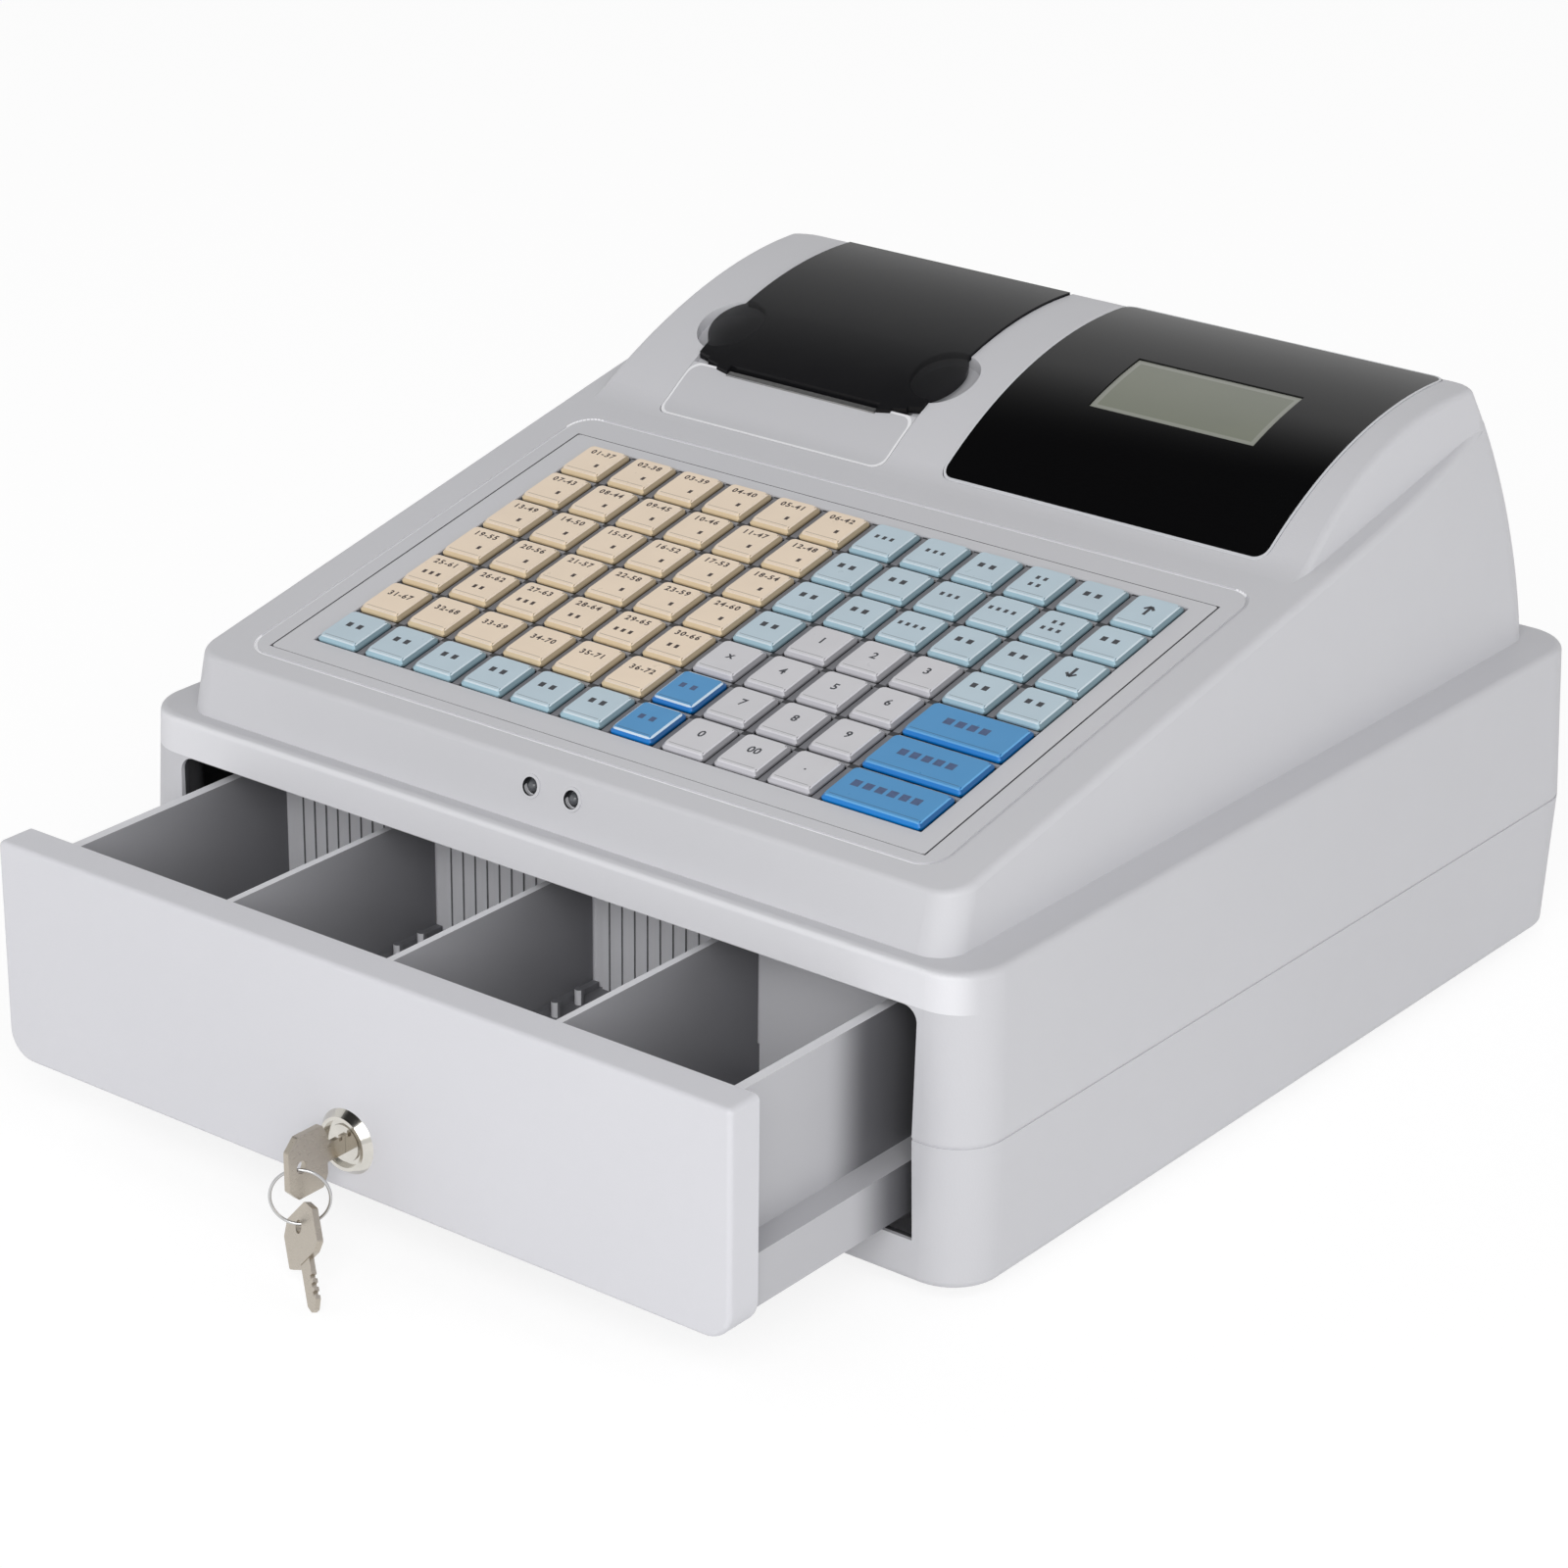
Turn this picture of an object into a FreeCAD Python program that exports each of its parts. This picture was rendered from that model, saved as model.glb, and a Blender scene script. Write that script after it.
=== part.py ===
import FreeCAD, Part
import math
import os

# Register with a cash drawer, sizes in millimetres
# x runs to the right, y to the back, z up. z = 0 is the table under the feet
# and x = y = 0 is the middle of the cabinet while the pieces are drawn. The drawer stands
# partly open. The finished pieces are moved back, so that the middle of the whole register
# with its open drawer and hanging key comes to stand over the origin.

# Cabinet shells
cabinet_width = 330.0
cabinet_depth = 347.0
cabinet_corner = 16.5
middle_ahead = 56.5
foot_height = 6.0
lower_height = 47.1
upper_height = 53.4
shell_draft = 1.8
wall = 3.0
edge_round = 2.4
parting_groove = 0.4
opening_inset = 20.3
opening_sill = 13.8
opening_height = 74.0
opening_round = 5.0
overrun = 20.0
slide_gap = 0.3
part_gap = 0.2
pin_gap = 0.05

# Feet, screws and screw columns
foot_radius = 9.0
foot_inset = 32.0
column_radius = 5.0
column_inset = 12.0
column_split = 12.0
screw_radius = 1.5
screw_head_radius = 2.9
screw_head_height = 2.0
screw_slot = 0.6
screw_length = 10.0
screw_well_depth = 8.0
housing_screw_inset = 7.9
housing_screw_front = 140.0
housing_screw_back = 120.0
housing_boss_height = 8.0

# Sloped top housing
housing_front = 165.7
housing_inset = 15.6
housing_front_lean = 14.25
housing_corner = 10.0
housing_rear_corner = 12.0
housing_rear = 165.8
housing_rear_radius = 190.0
housing_rear_drop = 6.5
housing_loft_height = 93.5
housing_side_start = 40.0
housing_side_draw = 9.0
housing_base_draw = 0.5
deck_angle = 11.65
deck_rise = 35.2
deck_y = -79.6
deck_edge_round = 2.5
hump_radius = 159.0
hump_top_y = 127.0
hump_rise = 91.3
hump_foot_round = 25.0
hump_inset = 7.6
hump_lean = 16.0
hump_edge_round = 2.5
hump_step = 0.2

# Fine groove around the keyboard
groove_inset = 13.9
groove_front = 74.4
groove_back = 95.6
groove_round = 9.0
groove_width = 1.1
groove_depth = 0.6

# Keyboard, measured along the deck from the middle of the key field
row_pitch = 20.0
key_columns = 12
key_rows = 7
row_above_middle = 4
digit_columns = 3
panel_inset = 7.5
panel_border = 8.0
panel_front = 69.0
panel_back = 84.0
panel_round = 1.5
panel_flange = 1.5
panel_ledge = 2.0
well_margin = 0.8
well_side = 1.0
well_floor = 5.0
well_plate = 1.5
key_gap = 3.4
key_row_gap = 2.2
key_field_right = 1.1
key_field_ahead = 0.4
key_round = 1.6
key_top_inset = 0.8
key_skirt = 2.0
key_shoulder = 0.2
key_height = 1.6
key_crown = 0.3
key_crown_inset = 0.25
stem_side = 5.8
stem_reach = 9.0
stem_gap = 0.1
board_thickness = 1.6
board_drop = 12.4
board_margin = 2.0
dome_radius = 3.6
dome_height = 0.6
panel_post_radius = 3.0

# Display window and its screen
window_left_share = 0.0106
window_inset = 15.6
window_front = 29.6
window_back = 136.6
window_round = 5.0
window_thickness = 1.8
window_proud = 0.2
screen_left_inset = 32.0
screen_right_inset = 29.2
screen_front = 67.6
screen_back = 97.0
screen_depth = 0.3
screen_body_margin = 7.0
screen_body_depth = 5.0

# Receipt printer under its smoked cover
printer_share = 0.4725
printer_front = 26.6
cover_share = 0.33145
cover_front = 48.0
cover_thickness = 2.0
cover_proud = 0.8
cover_tooth_inset = 15.5
cover_tooth_step_x = 5.2
cover_tooth_step_y = 1.9
cover_tooth_front = 2.6
cover_tooth_count = 3
cover_tab_front = 55.0
cover_tab_back = 75.0
cover_tab_bulge = 5.0
hinge_y = 134.0
hinge_depth = 2.0
hinge_radius = 1.8
hinge_pin_radius = 0.9
hinge_pin_length = 3.0
hinge_groove_radius = 3.2
printer_panel_back = 47.0
printer_panel_round = 4.0
printer_panel_thickness = 2.0
printer_opening_inset = 4.0
printer_opening_front = 30.0
printer_opening_back = 130.0
finger_inset = 2.0
finger_radius = 12.0
finger_depth = 4.0
finger_wall = 2.2
tear_front = 44.8
tear_width = 1.5
tear_seat = 0.6
tear_proud = 0.2
frame_gap = 2.0
frame_plate = 1.6
frame_front = 50.0
frame_back = 126.0
frame_depth = 7.6
cradle_radius = 25.3
cradle_wall = 2.0
paper_radius = 25.0
paper_core_radius = 6.0
paper_half = 28.75
paper_y = 99.0
paper_drop = 31.5
platen_y = 56.0
platen_drop = 12.8
platen_radius = 4.5
platen_inset = 7.0
platen_axle_radius = 1.5

# Lamps in the front face, electronics and the power inlet
lamp_spacing = 16.1
lamp_shift = 1.6
lamp_rise = 11.2
lamp_radius = 3.2
lamp_ring_radius = 3.8
lamp_ring_proud = 0.4
lamp_length = 9.0
lamp_bore_radius = 2.8
lamp_bore_depth = 2.0
lamp_dome_radius = 1.9
main_board_gap = 12.0
main_board_side_gap = 9.0
main_board_front = -20.0
main_board_back = 110.0
main_board_lift = 5.5
main_post_radius = 3.0
main_post_inset = 6.0
chip_shares = (0.3, 0.5, 0.7)
chip_height = 3.0
chip_side = 14.0
supply_inset = 24.4
supply_width = 50.0
supply_front = 40.0
supply_back = 110.0
supply_height = 42.0
supply_foot = 2.0
supply_core = 8.0
inlet_inset = 49.4
inlet_rise = 17.0
inlet_half = 12.0
inlet_half_height = 8.0
inlet_flange = 3.0
inlet_flange_proud = 1.2
inlet_depth = 20.0
inlet_recess = 12.0
inlet_wall = 2.0
inlet_pin_radius = 1.2
inlet_pin_spacing = 8.0
inlet_pin_length = 7.0

# Cash drawer, drawn as far open as it stands
drawer_out = 79.5
drawer_side_gap = 2.4
drawer_front_low = 20.2
drawer_front_high = 92.9
drawer_front_thickness = 12.5
drawer_front_round = 9.5
drawer_front_top_round = 2.0
drawer_front_edge = 1.6
tray_length = 300.0
tray_inset = 9.0
tray_wall = 3.5
tray_end_wall = 2.5
tray_rim = 88.0
tray_floor_low = 44.4
tray_floor = 2.5
rail_inset = 4.7
rail_low = 25.4
rail_high = 42.2
rail_wall = 3.0
channel_lip = 6.0
channel_wall = 2.7
channel_start = 15.5
channel_end = 8.0
bay_depth = 95.0
cup_depth = 98.0
cross_wall = 3.0
cup_count = 5
bay_count = 4
rib_pitch = 5.0
rib_width = 2.6
rib_proud = 0.8
clip_radius = 1.5
clip_height = 5.0
clip_from_wall = 2.4
clip_from_cross = 13.0
clip_spacing = 11.0
divider_thickness = 2.5
divider_foot = 2.5
divider_foot_height = 2.0
pocket_depth = 10.4
pocket_wall = 2.5
divider_gap = 0.1
striker_half = 8.0
striker_depth = 8.4
striker_thickness = 3.0
striker_back = 7.0

# Lock with its key, the ring and the spare key
lock_z = 37.0
lock_radius = 7.0
bezel_radius = 10.3
bezel_thickness = 2.5
bezel_crest_radius = 8.5
bezel_recess_radius = 7.4
bezel_recess_depth = 1.5
lock_behind = 13.0
plug_radius = 5.8
plug_recess = 0.8
plug_reach = 3.0
keyway_depth = 16.0
keeper_half = 15.0
keeper_high = 28.0
keeper_thickness = 3.0
keeper_gap = 1.5
cam_thickness = 2.0
cam_length = 22.0
cam_half = 4.0
cam_nut_radius = 3.0
cam_nut_height = 1.5
key_bow_length = 16.0
key_bow_half = 10.0
key_bow_thickness = 2.0
key_bow_corner = 3.6
key_bow_front_corner = 3.8
key_bow_round = 1.0
key_bow_offset = 7.7
key_blade_length = 15.5
key_blade_half = 2.9
key_blade_thickness = 1.6
key_tip = 2.6
key_tip_half = 1.0
key_cut_depth = 1.1
key_cut_width = 1.3
key_cut_count = 3
key_hole_radius = 2.0
key_hole_from_end = 5.2
ring_radius = 8.8
ring_sag = 1.1
spare_sag = 0.9
spare_down = (0.62, -0.46, -0.635)
spare_side = (0.675, -0.101, 0.731)
ring_wire = 0.5
ring_turn = 37.8

# Release latch inside the cabinet
latch_y = 158.0
latch_z = 24.0
latch_half = 6.0
latch_thickness = 3.0
latch_hook = 9.5
latch_hook_depth = 3.5
latch_reach = 35.5
latch_pivot_radius = 1.5
latch_eye_radius = 4.0
latch_post = 3.0
latch_post_depth = 5.0


def point(x, y, z):
    return FreeCAD.Vector(x, y, z)


def block(x0, x1, y0, y1, z0, z1):
    """Box between two corners."""
    return Part.makeBox(x1 - x0, y1 - y0, z1 - z0, point(x0, y0, z0))


def rod(radius, length, start, direction):
    """Round bar from a point along a direction."""
    return Part.makeCylinder(radius, length, start, direction)


across = point(1, 0, 0)
backward = point(0, 1, 0)
up = point(0, 0, 1)


def fused(shapes):
    """One shape from several, with shared faces cleaned away."""
    first = shapes[0]
    joined = first.fuse(shapes[1:]) if len(shapes) > 1 else first
    return joined.removeSplitter()


def rounded_outline(x0, x1, y0, y1, radius, z):
    """Closed flat outline of a rectangle with round corners."""
    centres = [(x1 - radius, y0 + radius), (x1 - radius, y1 - radius),
               (x0 + radius, y1 - radius), (x0 + radius, y0 + radius)]
    arcs = []
    for index, (cx, cy) in enumerate(centres):
        circle = Part.Circle(point(cx, cy, z), up, radius)
        start = math.radians(90 * (index - 1))
        arcs.append(Part.ArcOfCircle(circle, start, start + math.radians(90)))
    edges = []
    for index, arc in enumerate(arcs):
        following = arcs[(index + 1) % len(arcs)]
        edges.append(arc.toShape())
        edges.append(Part.makeLine(arc.EndPoint, following.StartPoint))
    return Part.Wire(edges)


def rounded_block(x0, x1, y0, y1, z0, z1, radius):
    """Box with round upright corners."""
    face = Part.Face(rounded_outline(x0, x1, y0, y1, radius, z0))
    return face.extrude(point(0, 0, z1 - z0))


def front_prism(x0, x1, z0, z1, y0, y1, radius):
    """Box with round corners as seen from the front."""
    shape = rounded_block(x0, x1, z0, z1, -y1, -y0, radius)
    shape.rotate(point(0, 0, 0), across, 90)
    return shape


def draft_block(half_x0, half_y0, z0, half_x1, half_y1, z1, radius):
    """Round-cornered block whose size changes from one height to the other."""
    low = rounded_outline(-half_x0, half_x0, -half_y0, half_y0, radius, z0)
    high = rounded_outline(-half_x1, half_x1, -half_y1, half_y1, radius, z1)
    return Part.makeLoft([low, high], True, True)


def polygon_prism(points, direction):
    """Flat polygon swept along a direction."""
    face = Part.Face(Part.makePolygon(points + [points[0]]))
    return face.extrude(direction)


def mirrored(shape):
    """The same shape on the other side of the middle."""
    return shape.mirror(point(0, 0, 0), across)


def both_sides(shape):
    return [shape, mirrored(shape)]


def edge_points(edge):
    first, last = edge.ParameterRange
    return [edge.valueAt(first), edge.valueAt((first + last) / 2), edge.valueAt(last)]


def edges_where(shape, test):
    """Edges whose ends and middle all pass a test."""
    return [edge for edge in shape.Edges if all(test(p) for p in edge_points(edge))]


# Widths, heights and angles that several pieces share
tolerance = part_gap / 10
cabinet_base = foot_height
parting = cabinet_base + lower_height
cabinet_top = parting + upper_height
half_width = cabinet_width / 2
half_depth = cabinet_depth / 2
opening_half = half_width - opening_inset
housing_half = half_width - housing_inset
housing_screw_x = housing_half - housing_screw_inset
hump_half = housing_half - hump_inset
groove_half = housing_half - groove_inset
panel_half = groove_half - panel_inset
key_pitch = 2 * (panel_half - panel_border) / key_columns
window_left = hump_half * window_left_share
window_right = hump_half - window_inset
screen_left = window_left + screen_left_inset
screen_right = window_right - screen_right_inset
printer_x = -hump_half * printer_share
cover_half = hump_half * cover_share
cover_tooth_half = cover_half - cover_tooth_inset
printer_opening_half = cover_half - printer_opening_inset
finger_offset = cover_half - finger_inset
frame_half = printer_opening_half - frame_gap
platen_half = frame_half - platen_inset
tear_half = cover_tooth_half - slide_gap
supply_right = housing_half - supply_inset
supply_left = supply_right - supply_width
main_board_left = printer_x + frame_half + main_board_gap
main_board_right = supply_left - main_board_side_gap
inlet_x = housing_half - inlet_inset
drawer_half = opening_half - drawer_side_gap
rail_half = opening_half - rail_inset
channel_half = rail_half - channel_lip
tray_half = rail_half - tray_inset
deck_tilt = math.radians(deck_angle)
front_lean = math.tan(math.radians(housing_front_lean))
deck_z = cabinet_top + deck_rise
hump_top = cabinet_top + hump_rise
hump_centre_z = hump_top - hump_radius
drawer_face = -half_depth - drawer_out
tray_start = drawer_face + drawer_front_thickness
tray_end = tray_start + tray_length
tray_top = tray_floor_low + tray_floor
inside_half = tray_half - tray_wall
bay_start = tray_start + tray_end_wall
cross_y = bay_start + bay_depth
cup_start = cross_y + cross_wall
second_cross_y = cup_start + cup_depth


# Cabinet

def shell_outside(z0, z1, widening):
    """Outside of a half shell, widest at the parting line."""
    slim_x = half_width - shell_draft
    slim_y = half_depth - shell_draft
    if widening:
        return draft_block(slim_x, slim_y, z0, half_width, half_depth, z1, cabinet_corner)
    return draft_block(half_width, half_depth, z0, slim_x, slim_y, z1, cabinet_corner)


def shell_inside(z0, z1, widening):
    """Hollow of a half shell."""
    corner = cabinet_corner - wall
    wide_x = half_width - wall
    wide_y = half_depth - wall
    slim_x = wide_x - shell_draft
    slim_y = wide_y - shell_draft
    if widening:
        return draft_block(slim_x, slim_y, z0, wide_x, wide_y, z1, corner)
    return draft_block(wide_x, wide_y, z0, slim_x, slim_y, z1, corner)


def parting_step(z0, z1):
    """Thin frame that leaves a fine groove between the two shells."""
    x = half_width - parting_groove
    y = half_depth - parting_groove
    frame = block(-half_width, half_width, -half_depth, half_depth, z0, z1)
    return frame.cut(rounded_block(-x, x, -y, y, z0, z1, cabinet_corner - parting_groove))


def drawer_opening():
    """Front opening that both shells share."""
    sill = cabinet_base + opening_sill
    lintel = sill + opening_height
    return front_prism(-opening_half, opening_half, sill, lintel,
                       -half_depth - overrun, -half_depth + wall + shell_draft + part_gap,
                       opening_round)


def opening_corners():
    """The lower corners of the opening stay square."""
    sill = cabinet_base + opening_sill
    return block(-opening_half, opening_half, -half_depth - overrun,
                 -half_depth + wall + shell_draft + part_gap, sill, sill + opening_round * 2)


def column_places():
    x = half_width - column_inset
    y = half_depth - column_inset
    return [(x, -y), (x, y), (-x, y), (-x, -y)]


def base_lower_shell():
    """Bottom half shell: floor, drawer channels, screw columns, lock keeper, latch posts."""
    floor = cabinet_base + wall
    outside = shell_outside(cabinet_base, parting, True)
    low_edges = edges_where(outside, lambda p: abs(p.z - cabinet_base) < tolerance)
    outside = outside.makeFillet(edge_round, low_edges)
    outside = outside.cut(parting_step(parting - parting_groove, parting))
    shell = outside.cut(shell_inside(floor, parting, True))
    shell = shell.cut(drawer_opening()).cut(opening_corners())
    split = cabinet_base + column_split
    pieces = [shell]
    for x, y in column_places():
        pieces.append(rod(column_radius, split - floor, point(x, y, floor), up))
    channel = drawer_channel(floor)
    pieces += both_sides(channel)
    keeper_y = plug_end_y() + drawer_out - keeper_gap
    pieces.append(block(-keeper_half, keeper_half, keeper_y - keeper_thickness, keeper_y,
                        floor, keeper_high))
    post_x = latch_half + slide_gap
    post = block(post_x, post_x + latch_post, latch_y - latch_post_depth,
                 latch_y + latch_post_depth, floor, latch_z + latch_eye_radius)
    pieces += both_sides(post)
    shell = fused(pieces)
    for x, y in column_places():
        shell = shell.cut(rod(screw_radius, column_split, point(x, y, cabinet_base), up))
        shell = shell.cut(rod(screw_head_radius + part_gap, screw_well_depth,
                              point(x, y, cabinet_base), up))
    pivot = rod(latch_pivot_radius, 2 * (post_x + latch_post),
                point(-post_x - latch_post, latch_y, latch_z), across)
    return shell.cut(pivot)


def drawer_channel(floor):
    """Channel of C section that holds the rail of the drawer on one side."""
    y0 = -half_depth + channel_start
    y1 = half_depth - channel_end
    outer = rail_half + slide_gap + channel_wall
    body = block(channel_half, outer, y0, y1, floor, rail_high + slide_gap + channel_wall)
    hollow = block(channel_half - overrun, rail_half + slide_gap, y0 - overrun, y1 + overrun,
                   rail_low - slide_gap, rail_high + slide_gap)
    return body.cut(hollow)


def housing_screw_places():
    x = housing_screw_x
    return [(x, -housing_screw_front), (x, housing_screw_back),
            (-x, housing_screw_back), (-x, -housing_screw_front)]


def main_post_places():
    x0 = main_board_left + main_post_inset
    x1 = main_board_right - main_post_inset
    y0 = main_board_front + main_post_inset
    y1 = main_board_back - main_post_inset
    return [(x0, y0), (x1, y0), (x1, y1), (x0, y1)]


def base_upper_shell():
    """Top half shell with the roof that carries the housing."""
    outside = shell_outside(parting, cabinet_top, False)
    top_edges = edges_where(outside, lambda p: abs(p.z - cabinet_top) < tolerance)
    outside = outside.makeFillet(edge_round, top_edges)
    outside = outside.cut(parting_step(parting, parting + parting_groove))
    shell = outside.cut(shell_inside(parting, cabinet_top - wall, False))
    shell = shell.cut(drawer_opening())
    split = cabinet_base + column_split
    pieces = [shell]
    for x, y in column_places():
        pieces.append(rod(column_radius, cabinet_top - wall - split, point(x, y, split), up))
    for x, y in main_post_places():
        pieces.append(rod(main_post_radius, main_board_lift, point(x, y, cabinet_top), up))
    shell = fused(pieces)
    screw_top = cabinet_base + screw_well_depth + screw_length
    for x, y in column_places():
        shell = shell.cut(rod(screw_radius, screw_top - split, point(x, y, split), up))
    for x, y in housing_screw_places():
        shell = shell.cut(rod(screw_radius, wall, point(x, y, cabinet_top - wall), up))
    return shell


def rubber_feet():
    """Four round feet under the floor."""
    x = half_width - foot_inset
    y = half_depth - foot_inset
    feet = []
    for side, end in ((x, y), (x, -y), (-x, y), (-x, -y)):
        foot = rod(foot_radius, foot_height, point(side, end, 0), up)
        low = edges_where(foot, lambda p: abs(p.z) < tolerance)
        feet.append(foot.makeFillet(screw_radius, low))
    return Part.makeCompound(feet)


def case_screw(x, y, z):
    """Pan-head screw pointing up, its head under the height z."""
    head = rod(screw_head_radius, screw_head_height, point(x, y, z - screw_head_height), up)
    shaft = rod(screw_radius, screw_length, point(x, y, z), up)
    slot = block(x - screw_head_radius, x + screw_head_radius, y - screw_slot / 2,
                 y + screw_slot / 2, z - screw_head_height, z - screw_head_height / 2)
    return head.fuse(shaft).removeSplitter().cut(slot)


def case_screws():
    """Screws of the cabinet columns and of the housing."""
    screws = []
    for x, y in column_places():
        screws.append(case_screw(x, y, cabinet_base + screw_well_depth))
    for x, y in housing_screw_places():
        screws.append(case_screw(x, y, cabinet_top - wall))
    return Part.makeCompound(screws)


# Housing

def rear_curve(z):
    """Back of the housing at a height."""
    level = z - cabinet_top + housing_rear_drop
    return housing_rear - housing_rear_radius + math.sqrt(housing_rear_radius ** 2 - level ** 2)


def front_line(z):
    """Front of the housing at a height."""
    return -housing_front + front_lean * (z - cabinet_top)


def housing_plan(z, draw, inset):
    """Plan outline of the housing at one height, its sides drawn in towards the back."""
    half = housing_half - inset
    front = front_line(z) + inset
    round_front = housing_corner - inset
    round_rear = housing_rear_corner - inset
    run = rear_curve(z) - inset - round_rear - housing_side_start
    turn = 2 * math.atan(draw / run)
    bend = run / math.sin(turn)
    side_end = point(half - draw, housing_side_start + run, z)
    centre = side_end - point(math.cos(turn), math.sin(turn), 0) * round_rear
    side_middle = point(half - bend * (1 - math.cos(turn / 2)),
                        housing_side_start + bend * math.sin(turn / 2), z)
    middle_angle = (turn + math.radians(90)) / 2
    corner_middle = centre + point(math.cos(middle_angle), math.sin(middle_angle), 0) * round_rear
    front_centre = point(half - round_front, front + round_front, z)
    diagonal = point(1, -1, 0).normalize()
    right = [front_centre - backward * round_front,
             front_centre + diagonal * round_front,
             front_centre + across * round_front,
             point(half, housing_side_start, z),
             side_middle,
             side_end,
             corner_middle,
             centre + backward * round_rear]
    left = [point(-p.x, p.y, p.z) for p in right]
    edges = [Part.makeLine(left[0], right[0]),
             Part.Arc(right[0], right[1], right[2]).toShape(),
             Part.makeLine(right[2], right[3]),
             Part.Arc(right[3], right[4], right[5]).toShape(),
             Part.Arc(right[5], right[6], right[7]).toShape(),
             Part.makeLine(right[7], left[7]),
             Part.Arc(left[7], left[6], left[5]).toShape(),
             Part.Arc(left[5], left[4], left[3]).toShape(),
             Part.makeLine(left[3], left[2]),
             Part.Arc(left[2], left[1], left[0]).toShape()]
    return Part.Wire(edges)


def housing_core(inset):
    """Plan of the housing carried up with its lean and its drawn-in sides."""
    middle = cabinet_top + housing_loft_height / 2
    top = cabinet_top + housing_loft_height
    half_draw = (housing_side_draw + housing_base_draw) / 2
    sections = [housing_plan(cabinet_top, housing_base_draw, inset),
                housing_plan(middle, half_draw, inset),
                housing_plan(top, housing_side_draw, inset)]
    return Part.makeLoft(sections, True, False)


def on_deck(shape):
    """Put a shape drawn flat at the origin onto the sloped deck."""
    moved = shape.copy()
    moved.rotate(point(0, 0, 0), across, deck_angle)
    moved.translate(point(0, deck_y, deck_z))
    return moved


def deck_height(y):
    return deck_z + (y - deck_y) * math.tan(deck_tilt)


def below_deck(inset):
    """Everything under the deck plane, as one slab."""
    reach = cabinet_depth
    return on_deck(block(-reach, reach, -reach, reach, -reach, -inset))


def hump_height(y, inset):
    """Height of the long arc of the hump."""
    return hump_centre_z + math.sqrt((hump_radius - inset) ** 2 - (y - hump_top_y) ** 2)


def hump_foot(inset):
    """Round foot between the deck and the long arc: its centre and its two ends."""
    along = point(0, math.cos(deck_tilt), math.sin(deck_tilt))
    upward = point(0, -math.sin(deck_tilt), math.cos(deck_tilt))
    centre = point(0, hump_top_y, hump_centre_z)
    start = point(0, deck_y, deck_z) + upward * hump_foot_round
    lifted = start - centre
    reach = hump_radius + hump_foot_round
    forward = -lifted.dot(along)
    forward -= math.sqrt(forward ** 2 - lifted.dot(lifted) + reach ** 2)
    foot_centre = start + along * forward
    foot_start = foot_centre - upward * (hump_foot_round + inset)
    arc_start = centre + (foot_centre - centre).normalize() * (hump_radius - inset)
    return foot_centre, foot_start, arc_start


def hump_prism(inset):
    """Space under the hump: a smooth foot on the deck and the long arc."""
    foot_centre, foot_start, arc_start = hump_foot(inset)
    foot_radius_inside = hump_foot_round + inset
    way = ((arc_start + foot_start) * 0.5 - foot_centre).normalize()
    foot_middle = foot_centre + way * foot_radius_inside
    back = hump_top_y + hump_radius / 2
    arc_end = point(0, back, hump_height(back, inset))
    arc_top = point(0, hump_top_y, hump_height(hump_top_y, inset))
    low_back = point(0, back, cabinet_top - overrun)
    low_front = point(0, foot_start.y, cabinet_top - overrun)
    outline = [Part.Arc(foot_start, foot_middle, arc_start).toShape(),
               Part.Arc(arc_start, arc_top, arc_end).toShape(),
               Part.makeLine(arc_end, low_back),
               Part.makeLine(low_back, low_front),
               Part.makeLine(low_front, foot_start)]
    face = Part.Face(Part.Wire(outline))
    face.translate(point(-cabinet_width / 2, 0, 0))
    return face.extrude(point(cabinet_width, 0, 0))


def hump_layer(outer, inner):
    """Curved sheet that follows the hump, between two depths under its face."""
    return hump_prism(outer).cut(hump_prism(inner))


def hump_sides(inset):
    """Leaning sides of the hump, straight along the slope of the deck."""
    lean = math.radians(hump_lean)
    half = hump_half - inset / math.cos(lean)
    drawn = half - math.tan(lean) * hump_rise
    reach = cabinet_depth
    outline = [(-half, 0), (-drawn, hump_rise), (drawn, hump_rise), (half, 0),
               (half, -2 * hump_rise), (-half, -2 * hump_rise)]
    points = [point(x, -reach, z) for x, z in outline]
    return on_deck(polygon_prism(points, backward * (2 * reach)))


def housing_hollow():
    """Inside of the housing."""
    core = housing_core(wall)
    ledge = core.common(below_deck(wall))
    hump = core.common(hump_prism(wall)).common(hump_sides(wall))
    return fused([ledge, hump])


def drawn_half():
    """Half width of the hump along its top."""
    return hump_half - math.tan(math.radians(hump_lean)) * hump_rise / 2


def hump_crest(hump):
    """Edges that lie on the long arc of the hump, behind its foot."""
    arc_start = hump_foot(0)[2]

    def on_arc(p):
        behind = p.y > arc_start.y - tolerance
        return behind and abs(p.z - hump_height(p.y, 0)) < tolerance
    return edges_where(hump, on_arc)


def housing_outside():
    """Outside of the housing with its softened edges."""
    ledge = housing_core(0).common(below_deck(0))
    hump = housing_core(hump_step).common(hump_prism(0)).common(hump_sides(0))
    rim = edges_where(ledge, lambda p: abs(p.z - deck_height(p.y)) < tolerance)
    ledge = ledge.makeFillet(deck_edge_round, rim)
    sides = [edge for edge in hump_crest(hump) if abs(edge_points(edge)[1].x) > drawn_half()]
    sides = [edge for edge in sides if edge.Length > hump_foot_round]
    hump = hump.makeFillet(hump_edge_round, sides)
    back = [edge for edge in hump_crest(hump)
            if edge_points(edge)[1].y > hump_top_y and edge.Length > housing_half]
    hump = hump.makeFillet(hump_edge_round, back)
    return fused([ledge, hump])


def plan_box(x0, x1, y0, y1, radius):
    """Tall plan-shaped tool that reaches from the cabinet to above the hump."""
    return rounded_block(x0, x1, y0, y1, cabinet_top, hump_top + overrun, radius)


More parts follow.
